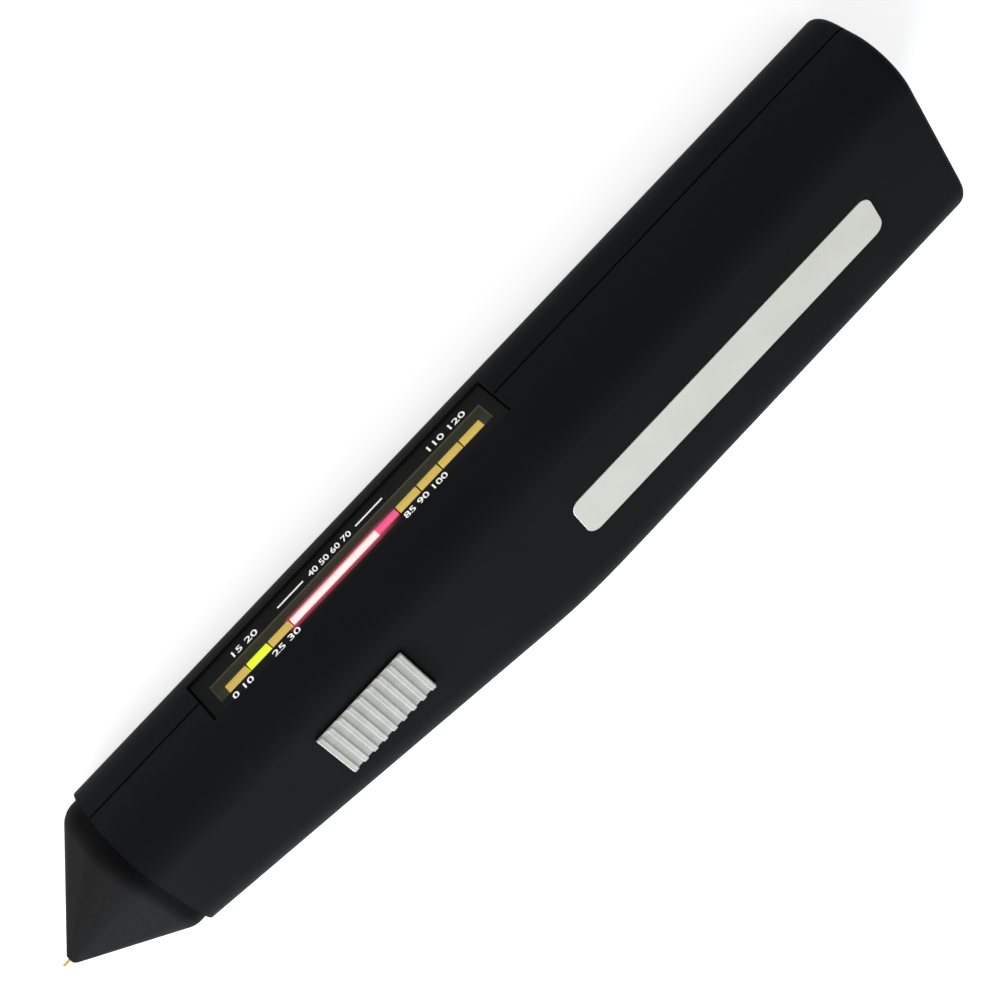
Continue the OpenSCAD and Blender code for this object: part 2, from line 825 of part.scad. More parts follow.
// Body of the slide switch, with the slot that its lever runs in
module slide_switch() color(steel) {
    slot_depth = 1.2;
    translate([slide_mid, slide_y, board_z]) difference() {
        translate([-switch_len/2, -switch_w/2, 0]) cube([switch_len, switch_w, switch_h]);
        translate([-lever_len/2 - slide_gap, -lever_w/2 - slide_gap, switch_h - slot_depth])
            cube([lever_len + slide_travel + 2*slide_gap, lever_w + 2*slide_gap, 2*slot_depth]);
    }
}

// Lever of the slide switch, pushed by the keeper
module switch_lever() color(chip_black) {
    sunk = 1;
    translate([slide_mid - lever_len/2, slide_y - lever_w/2, board_z + switch_h - sunk])
        cube([lever_len, lever_w, lever_h + sunk]);
}

// Keeper behind the shell wall: the stem up to the cap and the fork down to the lever
module slide_keeper() color(chip_black) {
    fork_z = board_z + switch_h + fork_rise;
    translate([slide_mid, slide_y, 0]) {
        translate([-stem_len/2, -stem_w/2, keeper_top]) cube([stem_len, stem_w, cap_z - keeper_top]);
        translate([-keeper_len/2, -keeper_w/2, keeper_top - keeper_t])
            cube([keeper_len, keeper_w, keeper_t]);
        for (s = [0, 1]) mirror([s, 0, 0]) translate([lever_len/2 + fork_gap, -lever_w/2, fork_z])
            cube([fork_t, lever_w, keeper_top - keeper_t - fork_z]);
    }
}

// Ribbed cap that the thumb pushes: one profile drawn across the whole width
module power_slide() color(satin_silver) {
    pitch = (slide_len - rib_w)/(rib_count - 1);
    low = cap_t;
    high = cap_t + rib_h;
    grooves = [for (i = [1 : rib_count - 1]) let (x = i*pitch)
        each [[x - pitch + rib_w, high], [x - pitch + rib_w + rib_flank, low],
              [x - rib_flank, low], [x, high]]];
    translate([slide_x, slide_y + slide_w/2, cap_z]) rotate([90, 0, 0]) linear_extrude(slide_w)
        polygon(concat([[0, 0], [0, high]], grooves, [[slide_len, high], [slide_len, 0]]));
}

// Bare plate in its pocket on the side
module side_plate() color(satin_silver) {
    translate([plate_x0 + plate_len/2, -plate_down, plate_z])
        linear_extrude(plate_t) plate_outline(plate_len, plate_w, plate_r);
}

// 9 V battery with its two terminals toward the probe
module battery() color(battery_grey) {
    z = battery_z0 + battery_t/2;
    translate([battery_x0 + terminal_h, -battery_w/2, battery_z0])
        cube([battery_len - terminal_h, battery_w, battery_t]);
    for (t = terminals)
        translate([battery_x0, t[0], z]) rotate([0, 90, 0]) cylinder(d = t[1], h = terminal_h);
}

// Snap connector over the battery terminals
module battery_snap() color(chip_black) {
    snap_len = 25;
    snap_w = 12.5;
    z = battery_z0 + battery_t/2;
    difference() {
        translate([snap_x0, -snap_len/2, z - snap_w/2]) cube([snap_t, snap_len, snap_w]);
        for (t = terminals)
            translate([battery_x0 - snap_fit, t[0], z]) rotate([0, 90, 0])
                cylinder(d = t[1] + 2*snap_fit, h = snap_t + nick);
    }
}

// One cross-head screw, its head down and its shank up, from the origin
module cross_screw(head_d, head_h, shank_d, shank_len) {
    slot_len = head_d*0.62;
    slot_w = head_d*0.15;
    slot_d = head_h*0.5;
    difference() {
        cylinder(d = head_d, h = head_h);
        for (a = [0, 90]) rotate(a) translate([-slot_len/2, -slot_w/2, -nick])
            cube([slot_len, slot_w, nick + slot_d]);
    }
    translate([0, 0, head_h]) cylinder(d = shank_d, h = shank_len);
}

// The screws that close the shells, from the back side
module shell_screws() color(steel) {
    shank_len = z_mid - screw_sink + screw_bite;
    at_posts() translate([0, 0, screw_sink - screw_head_h])
        cross_screw(screw_head_d, screw_head_h, screw_d, shank_len);
}

// The screws that hold the board on its posts
module board_screws() color(steel) {
    shank_len = board_t + screw_bite;
    at_board_posts() translate([0, 0, board_z + board_head_h]) mirror([0, 0, 1])
        cross_screw(board_head_d, board_head_h, board_screw_d, shank_len);
}

label_side_shell();
back_side_shell();
battery_door();
nose_cone();
probe_pin();
probe_head();
probe_spring();
probe_plug();
display_bezel();
display_window();
lamp_low_battery();
lamp_ready();
lamp_metal();
lamps_bar_lit();
lamp_bar_edge();
lamps_bar_unlit();
lamp_holder();
main_board();
board_chips();
trimmer();
buzzer();
slide_switch();
switch_lever();
slide_keeper();
power_slide();
side_plate();
battery();
battery_snap();
shell_screws();
board_screws();
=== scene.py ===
# %% [markdown]
# A handheld gem tester
#
# The tester is a long black body of two moulded half shells. A dark nose cone with a thin brass
# pin closes its front, a row of twelve lamps sits behind a smoked window in its narrow edge, and
# a ribbed silver slide and a bare silver plate are on its broad side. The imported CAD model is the
# fixed frame: every piece below is made in its coordinates, in metres, and rides on one of its
# bodies. Sizes of the tester are written in millimetres and multiplied by MM, and those of the
# stage in metres.

# %% Load the frame
import math
import bmesh
import bpy
from mathutils import Matrix, Vector


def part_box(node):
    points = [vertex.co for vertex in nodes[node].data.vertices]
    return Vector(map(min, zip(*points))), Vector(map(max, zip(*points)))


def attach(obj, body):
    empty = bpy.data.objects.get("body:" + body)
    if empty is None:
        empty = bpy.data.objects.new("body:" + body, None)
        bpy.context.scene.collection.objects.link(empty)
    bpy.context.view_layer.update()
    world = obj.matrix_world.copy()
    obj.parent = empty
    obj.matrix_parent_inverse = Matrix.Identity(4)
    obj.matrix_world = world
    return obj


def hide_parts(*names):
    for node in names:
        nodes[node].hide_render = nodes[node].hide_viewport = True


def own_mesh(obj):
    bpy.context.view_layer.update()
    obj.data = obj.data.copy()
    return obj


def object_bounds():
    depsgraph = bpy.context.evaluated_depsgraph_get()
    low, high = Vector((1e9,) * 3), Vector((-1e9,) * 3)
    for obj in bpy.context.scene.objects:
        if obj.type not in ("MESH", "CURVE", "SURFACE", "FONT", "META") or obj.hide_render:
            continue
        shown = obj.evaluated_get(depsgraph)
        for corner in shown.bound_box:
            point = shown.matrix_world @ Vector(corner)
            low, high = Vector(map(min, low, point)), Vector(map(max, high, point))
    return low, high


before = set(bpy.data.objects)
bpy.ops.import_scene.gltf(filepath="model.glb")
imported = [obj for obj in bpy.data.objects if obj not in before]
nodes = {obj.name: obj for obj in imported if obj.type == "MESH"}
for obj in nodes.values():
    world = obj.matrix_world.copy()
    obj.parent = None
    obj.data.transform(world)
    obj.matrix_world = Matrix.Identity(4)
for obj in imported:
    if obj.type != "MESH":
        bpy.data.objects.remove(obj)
cad_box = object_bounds()
MM = 0.001

# %% [markdown]
# The camera repeats the photograph's view. It was found by fitting the body's outline and the
# display: a long lens about 0.4 m away, looking down on the display edge and the broad side at
# once, and rolled so that the tester runs from the lower left to the upper right. The three
# directions are the columns of the camera's turn.

# %% Camera
CAMERA_AT = Vector((-14.49, 304.83, 283.57)) * MM
CAMERA_RIGHT = Vector((0.6867817, -0.4602792, 0.5625602))
CAMERA_UP = Vector((0.7251430, 0.4870921, -0.4867330))
CAMERA_BACK = Vector((-0.0499855, 0.7422159, 0.6682942))
FOCAL_PX = 2378.8
FRAME_PX = 1000
SENSOR_MM = 36
CLIP_START = 0.01

camera_data = bpy.data.cameras.new("camera")
camera_data.sensor_width = SENSOR_MM
camera_data.lens = SENSOR_MM * FOCAL_PX / FRAME_PX
camera_data.clip_start = CLIP_START
camera = bpy.data.objects.new("camera", camera_data)
turn = Matrix((CAMERA_RIGHT, CAMERA_UP, CAMERA_BACK)).transposed()
camera.matrix_world = Matrix.Translation(CAMERA_AT) @ turn.to_4x4()
bpy.context.scene.collection.objects.link(camera)
bpy.context.scene.camera = camera
print("lens:", round(camera_data.lens, 2), "mm")

# %% [markdown]
# Shader nodes are added by a few small functions, here for the stage and later for the finishes. One
# gives an input a number or another node's output, one does sums, one carries a value from one range
# to another, and one tells which rays are seen. The nodes could be wired one by one, but then the
# same lines would come back in every material.

# %% Node helpers
def feed(tree, socket, value):
    """Gives an input a number, a colour or another node's output."""
    if isinstance(value, bpy.types.NodeSocket):
        tree.links.new(value, socket)
    else:
        socket.default_value = value


def calc(tree, operation, *values):
    """The result of a Math node."""
    node = tree.nodes.new("ShaderNodeMath")
    node.operation = operation
    for socket, value in zip(node.inputs, values):
        feed(tree, socket, value)
    return node.outputs[0]


def ranged(tree, value, from_range=(0, 1), to_range=(0, 1), smooth=False):
    """A value carried from one range to another, and held at its ends."""
    node = tree.nodes.new("ShaderNodeMapRange")
    node.interpolation_type = "SMOOTHSTEP" if smooth else "LINEAR"
    labels = ("From Min", "From Max", "To Min", "To Max")
    for label, bound in zip(labels, (*from_range, *to_range)):
        feed(tree, node.inputs[label], bound)
    feed(tree, node.inputs["Value"], value)
    return node.outputs["Result"]


def seen_ray(tree):
    """1 for a ray from the camera, or one that a mirror or a window sends on, and 0 for the others."""
    path = tree.nodes.new("ShaderNodeLightPath")
    mirrored = calc(tree, "MAXIMUM", path.outputs["Is Camera Ray"], path.outputs["Is Glossy Ray"])
    return calc(tree, "MAXIMUM", mirrored, path.outputs["Is Transmission Ray"])


print("node helpers: feed, calc, ranged, seen_ray")

# %% [markdown]
# The stage is a white floor under a plain white world. Light Path tells rays that are seen, by
# the camera or in a mirror or a window, from rays that only light the scene. The seen ones find
# plain white, and the others a weaker light, so the background is white without flooding the
# black shells with light.

# %% World
WORLD_LIGHT = 0.22
WHITE = (1, 1, 1, 1)

world = bpy.data.worlds.new("studio")
bpy.context.scene.world = world
world.use_nodes = True
sky = world.node_tree
background = sky.nodes["Background"]
background.inputs["Color"].default_value = WHITE
sky_level = ranged(sky, seen_ray(sky), to_range=(WORLD_LIGHT, 1))
sky.links.new(sky_level, background.inputs["Strength"])
print("world light:", WORLD_LIGHT, "of white")

# %% [markdown]
# The floor is one large matte square just under the tester. Stronger lamps could make it white, but
# they would also grey the shells. So it adds a little white for the eye only, which leaves the
# shadow as a faint one.

# %% Floor
FLOOR_SIZE = 8
FLOOR_DROP = 0.02 * MM
FLOOR_WHITE = 0.9
FLOOR_ROUGHNESS = 0.9
FLOOR_LIFT = 0.75

floor_paint = bpy.data.materials.new("floor_white")
floor_paint.use_nodes = True
paint = floor_paint.node_tree
floor_shader = paint.nodes["Principled BSDF"]
floor_shader.inputs["Base Color"].default_value = (FLOOR_WHITE, FLOOR_WHITE, FLOOR_WHITE, 1)
floor_shader.inputs["Roughness"].default_value = FLOOR_ROUGHNESS
floor_shader.inputs["Specular IOR Level"].default_value = 0
floor_shader.inputs["Emission Color"].default_value = WHITE
lift = calc(paint, "MULTIPLY", seen_ray(paint), FLOOR_LIFT)
paint.links.new(lift, floor_shader.inputs["Emission Strength"])

half_floor = FLOOR_SIZE / 2
floor_corners = [(-half_floor, -half_floor), (half_floor, -half_floor),
                 (half_floor, half_floor), (-half_floor, half_floor)]
floor_mesh = bpy.data.meshes.new("floor")
floor_mesh.from_pydata([(x, y, -FLOOR_DROP) for x, y in floor_corners], [], [(0, 1, 2, 3)])
floor_mesh.materials.append(floor_paint)
floor = bpy.data.objects.new("floor", floor_mesh)
bpy.context.scene.collection.objects.link(floor)
print("floor:", FLOOR_SIZE, "m square")

# %% [markdown]
# Three softboxes stand round the tester. The first is high on the belly side, ahead of the nose, so
# that the broad side grows lighter from the rear end to the front, and it is a little cool. The
# second is the strongest and stands low in front of the nose. The third is weak and lights the
# display edge. The rounded edge that faces the camera gets the least of each, so it stays darkest,
# as it does in the photograph.

# %% Softboxes
SOFTBOX_SIZE = 0.6
COOL_WHITE = (0.86, 1, 1.14)


def softbox(name, at, power, colour=(1, 1, 1)):
    """A square area light that faces the tester."""
    data = bpy.data.lights.new(name, "AREA")
    data.shape = "SQUARE"
    data.size = SOFTBOX_SIZE
    data.energy = power
    data.color = colour
    light = bpy.data.objects.new(name, data)
    aim = (-Vector(at)).to_track_quat("-Z", "Y").to_matrix().to_4x4()
    light.matrix_world = Matrix.Translation(Vector(at)) @ aim
    bpy.context.scene.collection.objects.link(light)


softbox("softbox_belly", at=(-0.65, -0.55, 0.42), power=7.6, colour=COOL_WHITE)
softbox("softbox_nose", at=(-1.2, 0.1, 0.15), power=18)
softbox("softbox_edge", at=(-0.2, 1.2, 0.25), power=0.5)
bpy.context.scene.view_settings.view_transform = "Standard"

# %% [markdown]
# Moulded plastic is never one flat colour. Three small shader groups serve every finish: the fine
# grain that a spark-eroded mould leaves, the slow drift of tone that handling leaves, and a few
# specks of pale dust. Each group puts out masks and heights only, and each material places them
# with its own scale and amounts. They read Object coordinates, so nothing depends on UV maps.

# %% Shared shader groups
GRAIN_SCALE = 2600
DRIFT_SCALE = 60
SPECK_SCALE = 900


def new_group(name, inputs, outputs):
    """An empty shader group with named value sockets."""
    group = bpy.data.node_groups.new(name, "ShaderNodeTree")
    for label, default in inputs:
        socket = group.interface.new_socket(label, in_out="INPUT", socket_type="NodeSocketFloat")
        socket.default_value = default
    for label in outputs:
        group.interface.new_socket(label, in_out="OUTPUT", socket_type="NodeSocketFloat")
    return group, group.nodes.new("NodeGroupInput"), group.nodes.new("NodeGroupOutput")


def noise(group, scale_socket, detail, low, high):
    """A noise on Object coordinates, and a mask that spreads its middle range over 0 to 1."""
    field = group.nodes.new("ShaderNodeTexNoise")
    field.inputs["Detail"].default_value = detail
    group.links.new(group.nodes.new("ShaderNodeTexCoord").outputs["Object"], field.inputs["Vector"])
    group.links.new(scale_socket, field.inputs["Scale"])
    return field.outputs["Fac"], ranged(group, field.outputs["Fac"], (low, high))


grain_group, group_in, group_out = new_group(
    "mould_grain", [("Grain Scale", GRAIN_SCALE)], ["Height", "Mask"])
height, mask = noise(grain_group, group_in.outputs["Grain Scale"], detail=3, low=0.35, high=0.65)
grain_group.links.new(height, group_out.inputs["Height"])
grain_group.links.new(mask, group_out.inputs["Mask"])

drift_group, group_in, group_out = new_group("tone_drift", [("Drift Scale", DRIFT_SCALE)], ["Mask"])
_, mask = noise(drift_group, group_in.outputs["Drift Scale"], detail=4, low=0.3, high=0.7)
drift_group.links.new(mask, group_out.inputs["Mask"])

dust_group, group_in, group_out = new_group("dust_specks", [("Speck Scale", SPECK_SCALE)], ["Mask"])
_, mask = noise(dust_group, group_in.outputs["Speck Scale"], detail=2, low=0.74, high=0.8)
dust_group.links.new(mask, group_out.inputs["Mask"])
print("groups:", grain_group.name, drift_group.name, dust_group.name)

# %% [markdown]
# Three more helpers place a shader group, mix two colours by a mask and multiply masks. They keep
# the finishes below short enough to read as recipes.

# %% Helpers for finishes
def placed(tree, group, **values):
    """One use of a shader group, with its inputs set."""
    node = tree.nodes.new("ShaderNodeGroup")
    node.node_tree = group
    for label, value in values.items():
        node.inputs[label.replace("_", " ")].default_value = value
    return node


def mixed(tree, factor, low, high):
    """A colour between two, by a factor. The low one may be a socket."""
    node = tree.nodes.new("ShaderNodeMix")
    node.data_type = "RGBA"
    feed(tree, node.inputs["A"], low if isinstance(low, bpy.types.NodeSocket) else (*low, 1))
    feed(tree, node.inputs["B"], (*high, 1))
    feed(tree, node.inputs["Factor"], factor)
    return node.outputs["Result"]


def times(tree, *factors):
    """The product of several masks."""
    product = factors[0]
    for factor in factors[1:]:
        product = calc(tree, "MULTIPLY", product, factor)
    return product


print("finish helpers: placed, mixed, times")

# %% [markdown]
# Nearly every surface of the tester is opaque: moulded, plated or printed. One helper makes all of
# these finishes: two close tones mixed by the drift, dust on top of them, a roughness that moves with
# the grain, and a shallow bump, whose depth is in millimetres. What is the same all over, such as
# the specular level, is set on the shader's own socket.

# %% Opaque finish
def finish(name, tones, roughness, grain=GRAIN_SCALE, bump=0.01, drift=DRIFT_SCALE, dust=None,
           metallic=0.0, specular=0.5):
    """An opaque material from two tones, a range of roughness and, if given, a dust colour."""
    material = bpy.data.materials.new(name)
    material.use_nodes = True
    tree = material.node_tree
    shader = tree.nodes["Principled BSDF"]
    shader.inputs["Metallic"].default_value = metallic
    shader.inputs["Specular IOR Level"].default_value = specular
    grained = placed(tree, grain_group, Grain_Scale=grain)
    drifted = placed(tree, drift_group, Drift_Scale=drift)
    colour = mixed(tree, drifted.outputs["Mask"], *tones)
    if dust:
        specks = placed(tree, dust_group)
        colour = mixed(tree, specks.outputs["Mask"], colour, dust)
    tree.links.new(colour, shader.inputs["Base Color"])
    tree.links.new(ranged(tree, grained.outputs["Mask"], to_range=roughness),
                   shader.inputs["Roughness"])
    relief = tree.nodes.new("ShaderNodeBump")
    relief.inputs["Distance"].default_value = bump * MM
    tree.links.new(grained.outputs["Height"], relief.inputs["Height"])
    tree.links.new(relief.outputs["Normal"], shader.inputs["Normal"])
    return material


print("opaque finish: two tones, roughness, grain, bump, drift, dust")

# %% [markdown]
# The shells and the nose are matte plastic, close to black, so they have a low specular level and a
# trace of dust. The slide, the plate and the small prints are satin metal: they take their tone from
# what they mirror, and a high roughness spreads it. The pin is brighter brass.

# %% Finishes of the outside
shell_black = finish("shell_matte_black", ((0.0128, 0.0132, 0.0144), (0.0148, 0.0152, 0.0164)),
                     (0.55, 0.66), grain=2400, dust=(0.018, 0.0182, 0.0192), specular=0.03)
nose_grey = finish("nose_dark_grey", ((0.0059, 0.0055, 0.0055), (0.0066, 0.0062, 0.0062)),
                   (0.6, 0.7), grain=2400, dust=(0.0086, 0.0082, 0.0082), specular=0.03)
slide_silver = finish("slide_satin_silver", ((0.485, 0.486, 0.452), (0.54, 0.541, 0.507)),
                      (0.8, 0.9), grain=5000, bump=0.004, drift=400, metallic=1.0)
plate_silver = finish("plate_satin_silver", ((0.58, 0.585, 0.536), (0.618, 0.623, 0.574)),
                      (0.5, 0.6), grain=5000, bump=0.003, drift=120, metallic=1.0)
pin_brass = finish("pin_brass", ((0.5, 0.35, 0.12), (0.62, 0.45, 0.17)), (0.2, 0.35), metallic=1.0)
print_white = finish("print_foil_white", ((0.84, 0.84, 0.82), (0.9, 0.9, 0.88)), (0.5, 0.6), drift=900,
                     metallic=1.0)
print("outer finishes:", shell_black.name, nose_grey.name, slide_silver.name, plate_silver.name,
      pin_brass.name, print_white.name)

# %% [markdown]
# The inside shows only where the door is off or the model is taken apart. It and the screws get the
# usual colours of such parts, from the same helper: copper, plated steel, board green, chip black,
# blue for the trimmer and a grey can for the battery.

# %% Finishes of the inside
head_copper = finish("head_copper", ((0.42, 0.17, 0.07), (0.5, 0.22, 0.1)), (0.25, 0.4),
                     metallic=1.0)
bright_steel = finish("plated_steel", ((0.42, 0.43, 0.44), (0.5, 0.51, 0.52)), (0.25, 0.4),
                      metallic=1.0)
board_green = finish("board_green", ((0.012, 0.085, 0.03), (0.018, 0.11, 0.04)), (0.3, 0.4))
chip_black = finish("chip_black", ((0.01, 0.01, 0.01), (0.014, 0.014, 0.014)), (0.45, 0.6))
trimmer_blue = finish("trimmer_blue", ((0.025, 0.1, 0.36), (0.035, 0.12, 0.42)), (0.3, 0.4))
battery_can = finish("battery_can", ((0.09, 0.1, 0.12), (0.11, 0.12, 0.14)), (0.35, 0.45))
print("finishes so far:", len(bpy.data.materials))

# %% [markdown]
# The lamps are lenses of cast resin. A lit one is far brighter than its surroundings, so its
# middle looks almost white and only its margin shows its colour, and some of that colour spills
# over the strip beside it. One group measures this: it puts out 1 near a line along the row and 0
# at a given distance on either side of it. The line is the middle of the row, or as far beside it
# as Centre says. A second mask is 1 along the bright lamps and fades along the pink one.

# %% Glow across and along the row
Z_MID = sum(corner.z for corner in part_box("lamps_bar_lit")) / 2
BAR_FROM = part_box("lamps_bar_lit")[0].x
BRIGHT_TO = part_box("lamps_bar_lit")[1].x
BAR_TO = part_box("lamp_bar_edge")[1].x
BAR_SOFT = 1.2 * MM


def object_axes(tree):
    """The Object coordinates of the shaded point, by the names X, Y and Z."""
    split = tree.nodes.new("ShaderNodeSeparateXYZ")
    tree.links.new(tree.nodes.new("ShaderNodeTexCoord").outputs["Object"], split.inputs["Vector"])
    return split.outputs


glow_group, group_in, group_out = new_group(
    "bar_glow", [("Centre", 0), ("Inner", 0.5 * MM), ("Outer", 1.0 * MM)],
    ["Across", "Along", "Sunk", "Behind"])
axes = object_axes(glow_group)
off_middle = calc(glow_group, "SUBTRACT", axes["Z"], Z_MID)
off_line = calc(glow_group, "SUBTRACT", off_middle, group_in.outputs["Centre"])
distance = calc(glow_group, "ABSOLUTE", off_line)
margin = (group_in.outputs["Inner"], group_in.outputs["Outer"])
across = ranged(glow_group, distance, margin, (1, 0), smooth=True)
glow_group.links.new(across, group_out.inputs["Across"])
ends = [ranged(glow_group, axes["X"], span)
        for span in ((BAR_FROM - BAR_SOFT, BAR_FROM), (BAR_TO, BRIGHT_TO))]
glow_group.links.new(times(glow_group, *ends), group_out.inputs["Along"])
print("lit bar from", round(BAR_FROM / MM, 1), "to", round(BAR_TO / MM, 1), "mm")

# %% [markdown]
# Two more masks of the same group say where the lamps are seen: one is 1 in the panel's opening,
# below its face and between the ends of the window, and the other is 1 behind the window. They could
# be painted on the meshes, but limits on Object coordinates hold for every piece alike.

# %% Masks of the opening
PANEL_SINK = 0.4 * MM
PANEL_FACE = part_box("display_bezel")[1].y - PANEL_SINK
WINDOW_LOW, WINDOW_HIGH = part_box("display_window")
WINDOW_SLACK = 0.3 * MM
FACE_SKIN = 0.02 * MM
limits = (("LESS_THAN", "Y", PANEL_FACE - FACE_SKIN),
          ("GREATER_THAN", "X", WINDOW_LOW.x - WINDOW_SLACK),
          ("LESS_THAN", "X", WINDOW_HIGH.x + WINDOW_SLACK))
inside = [calc(glow_group, operation, axes[axis], level) for operation, axis, level in limits]
glow_group.links.new(times(glow_group, *inside), group_out.inputs["Sunk"])
behind = calc(glow_group, "LESS_THAN", axes["Y"], WINDOW_HIGH.y)
glow_group.links.new(behind, group_out.inputs["Behind"])
print("panel face at", round(PANEL_FACE / MM, 2), "mm")

# %% [markdown]
# Each colour of lamp is its own resin. A lit lens is mostly light, so Emission carries it, bright
# along a line and deeper at the margin. The unlit amber ones get a weaker Emission too. This is a
# painted glow, painted light that keeps them from sinking into the shade behind the window. Real lamps
# inside the lenses would light the strip too, but they would add noise to such a small place.

# %% Lamp finishes
LENS_SHIFT = 0.27
CORE_SHIFT = 0.42


def lens(name, tones, rim, core, strength, centre=LENS_SHIFT, inner=0.8, outer=1.05):
    """A cast resin lens that glows in its core colour, and in its rim colour at its margin."""
    material = finish(name, tones, roughness=(0.3, 0.4), grain=1800, bump=0.004, drift=500)
    tree = material.node_tree
    shader = tree.nodes["Principled BSDF"]
    glow = placed(tree, glow_group, Centre=centre * MM, Inner=inner * MM, Outer=outer * MM)
    tree.links.new(mixed(tree, glow.outputs["Across"], rim, core), shader.inputs["Emission Color"])
    shader.inputs["Emission Strength"].default_value = strength
    return material


# Painted glow: the unlit amber lenses give off light, though they are no lamps.
lamp_amber = lens("lamp_amber", tones=((0.5, 0.36, 0.1), (0.58, 0.43, 0.14)),
                  rim=(0.12, 0.07, 0.01), core=(0.66, 0.46, 0.09), strength=0.95)
lamp_green = lens("lamp_green_lit", tones=((0.3, 0.5, 0.02), (0.35, 0.55, 0.03)),
                  rim=(0.3, 0.4, 0.005), core=(0.92, 1, 0.03), strength=1.05)
lamp_red = lens("lamp_red_lit", tones=((0.6, 0.02, 0.06), (0.65, 0.03, 0.07)),
                rim=(0.44, 0.07, 0.11), core=(1, 1, 0.97), strength=1.1,
                centre=CORE_SHIFT, inner=0.35, outer=1.3)
lamp_pink = lens("lamp_pink_lit", tones=((0.6, 0.05, 0.12), (0.65, 0.06, 0.14)),
                 rim=(0.25, 0.02, 0.04), core=(0.93, 0.12, 0.29), strength=1.0,
                 inner=0.5, outer=1.1)
print("lamp finishes:", lamp_amber.name, lamp_green.name, lamp_red.name, lamp_pink.name)

# %% [markdown]
# The strip round the lamps catches a little of the bar's red light. A camera sees it as a crimson
# border, so the same masks paint that light onto the strip there, as Emission. Without it the strip
# is olive, with a faint painted glow in its Emission. This painted light lifts the strip because it
# lies deep in the opening, where little light of the room comes in.

# %% Strip finish
SPILL_STRENGTH = 0.95
OLIVE = (0.032, 0.032, 0.023)
STRIP_PAINTED_GLOW = (0.034, 0.035, 0.026)
STRIP_PAINTED_RED_LIGHT = (0.5, 0.06, 0.12)


def spill(material, dim, colour, centre, inner, outer):
    """Paints the bar's scattered light into a material's Emission, fading to dim from inner to outer
    of a line.
    """
    tree = material.node_tree
    shader = tree.nodes["Principled BSDF"]
    glow = placed(tree, glow_group, Centre=centre * MM, Inner=inner * MM, Outer=outer * MM)
    lit = times(tree, glow.outputs["Across"], glow.outputs["Along"])
    tree.links.new(mixed(tree, lit, dim, colour), shader.inputs["Emission Color"])
    shader.inputs["Emission Strength"].default_value = SPILL_STRENGTH


holder_olive = finish("holder_olive", (OLIVE, (0.038, 0.038, 0.028)), (0.5, 0.6), bump=0.001,
                      specular=0.2)
# Painted light: the bar's red and a faint glow are painted into the strip's Emission.
spill(holder_olive, STRIP_PAINTED_GLOW, STRIP_PAINTED_RED_LIGHT, centre=LENS_SHIFT, inner=1.25, outer=2.1)
print("strip:", holder_olive.name)

# %% [markdown]
# The panel is satin black, and the bar's red light is painted on its near lip as well, as Emission.
# The masks also paint the walls of its opening in the strip's olive, because on the real tester these
# walls are the sides of the strip that carries the lamps. They get the strip's painted glow as well,
# and a little more of it above the window. This painted light lifts them out of the opening's shade.
# Thin linings could be modelled instead, but two faces in one place flicker.

# %% Panel finish
EDGE_PAINTED_LIGHT = (0.055, 0.056, 0.038)
LIP_PAINTED_RED_LIGHT = (0.45, 0.05, 0.09)
OPENING_FAR = -1.6
OPENING_NEAR = 2.6
LINING_FROM = 0.02
LINING_TO = 0.05


def tint(tree, mask, colour):
    """Mixes one more colour into a material's own, where a mask is 1."""
    base = tree.nodes["Principled BSDF"].inputs["Base Color"]
    tree.links.new(mixed(tree, mask, base.links[0].from_socket, colour), base)


panel_black = finish("panel_satin_black", ((0.0172, 0.0174, 0.0177), (0.0192, 0.0194, 0.0197)),
                     (0.45, 0.55), grain=3200, bump=0.004, specular=0.03)
opening_half = (OPENING_NEAR - OPENING_FAR) / 2
panel_tree = panel_black.node_tree
lining = placed(panel_tree, glow_group, Centre=(OPENING_NEAR - opening_half) * MM,
                Inner=(opening_half + LINING_FROM) * MM, Outer=(opening_half + LINING_TO) * MM)
lined = times(panel_tree, lining.outputs["Across"], lining.outputs["Sunk"])
covered = times(panel_tree, lined, lining.outputs["Behind"])
tint(panel_tree, lined, OLIVE)
# Painted light: a faint glow on the opening's walls, brighter above the window.
edge_painted_light = mixed(panel_tree, lined, (0, 0, 0), EDGE_PAINTED_LIGHT)
wall_painted_glow = mixed(panel_tree, covered, edge_painted_light, STRIP_PAINTED_GLOW)
spill(panel_black, wall_painted_glow, LIP_PAINTED_RED_LIGHT, centre=OPENING_NEAR, inner=0.2, outer=1.15)
print("panel:", panel_black.name, "opening", round(2 * opening_half, 2), "mm wide")

# %% [markdown]
# The window is a strip of smoked plastic. Real glass shaders would bend the view and double the
# lamps in the strip's cut edges, which the photograph doesn't show, so the window only covers what
# is behind it with a thin veil: a nearly black tone with a low Alpha.

# %% Window finish
WINDOW_ALPHA = 0.1
window_smoked = finish("window_smoked", ((0.004, 0.004, 0.003), (0.005, 0.005, 0.004)), (0.3, 0.36),
                       grain=900, bump=0.0005, drift=30, specular=0.03)
window_smoked.node_tree.nodes["Principled BSDF"].inputs["Alpha"].default_value = WINDOW_ALPHA
print("finishes:", sorted(m.name for m in bpy.data.materials))

# %% [markdown]
# Every piece is linked, rides on a body of the frame, gets its finish and hides the CAD shapes it
# stands for. One helper does all of it, so that no piece is forgotten. A second one sets smooth
# shading and leaves the edges above an angle hard.

# %% Helpers for pieces
SHARP_DEGREES = 32


def add_piece(name, mesh, material, body, slot, *replaced):
    """Links a finished mesh as a piece that rides on a body and stands for CAD nodes."""
    mesh.name = name
    mesh.materials.clear()
    mesh.materials.append(material)
    piece = bpy.data.objects.new(name, mesh)
    bpy.context.scene.collection.objects.link(piece)
    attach(piece, body)
    if replaced:
        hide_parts(*replaced)
    return piece


def shade(mesh, sharp=SHARP_DEGREES):
    """Smooth shading with hard edges above an angle in degrees."""
    for face in mesh.polygons:
        face.use_smooth = True
    mesh.set_sharp_from_angle(angle=math.radians(sharp))


print("piece helpers: add_piece, shade")
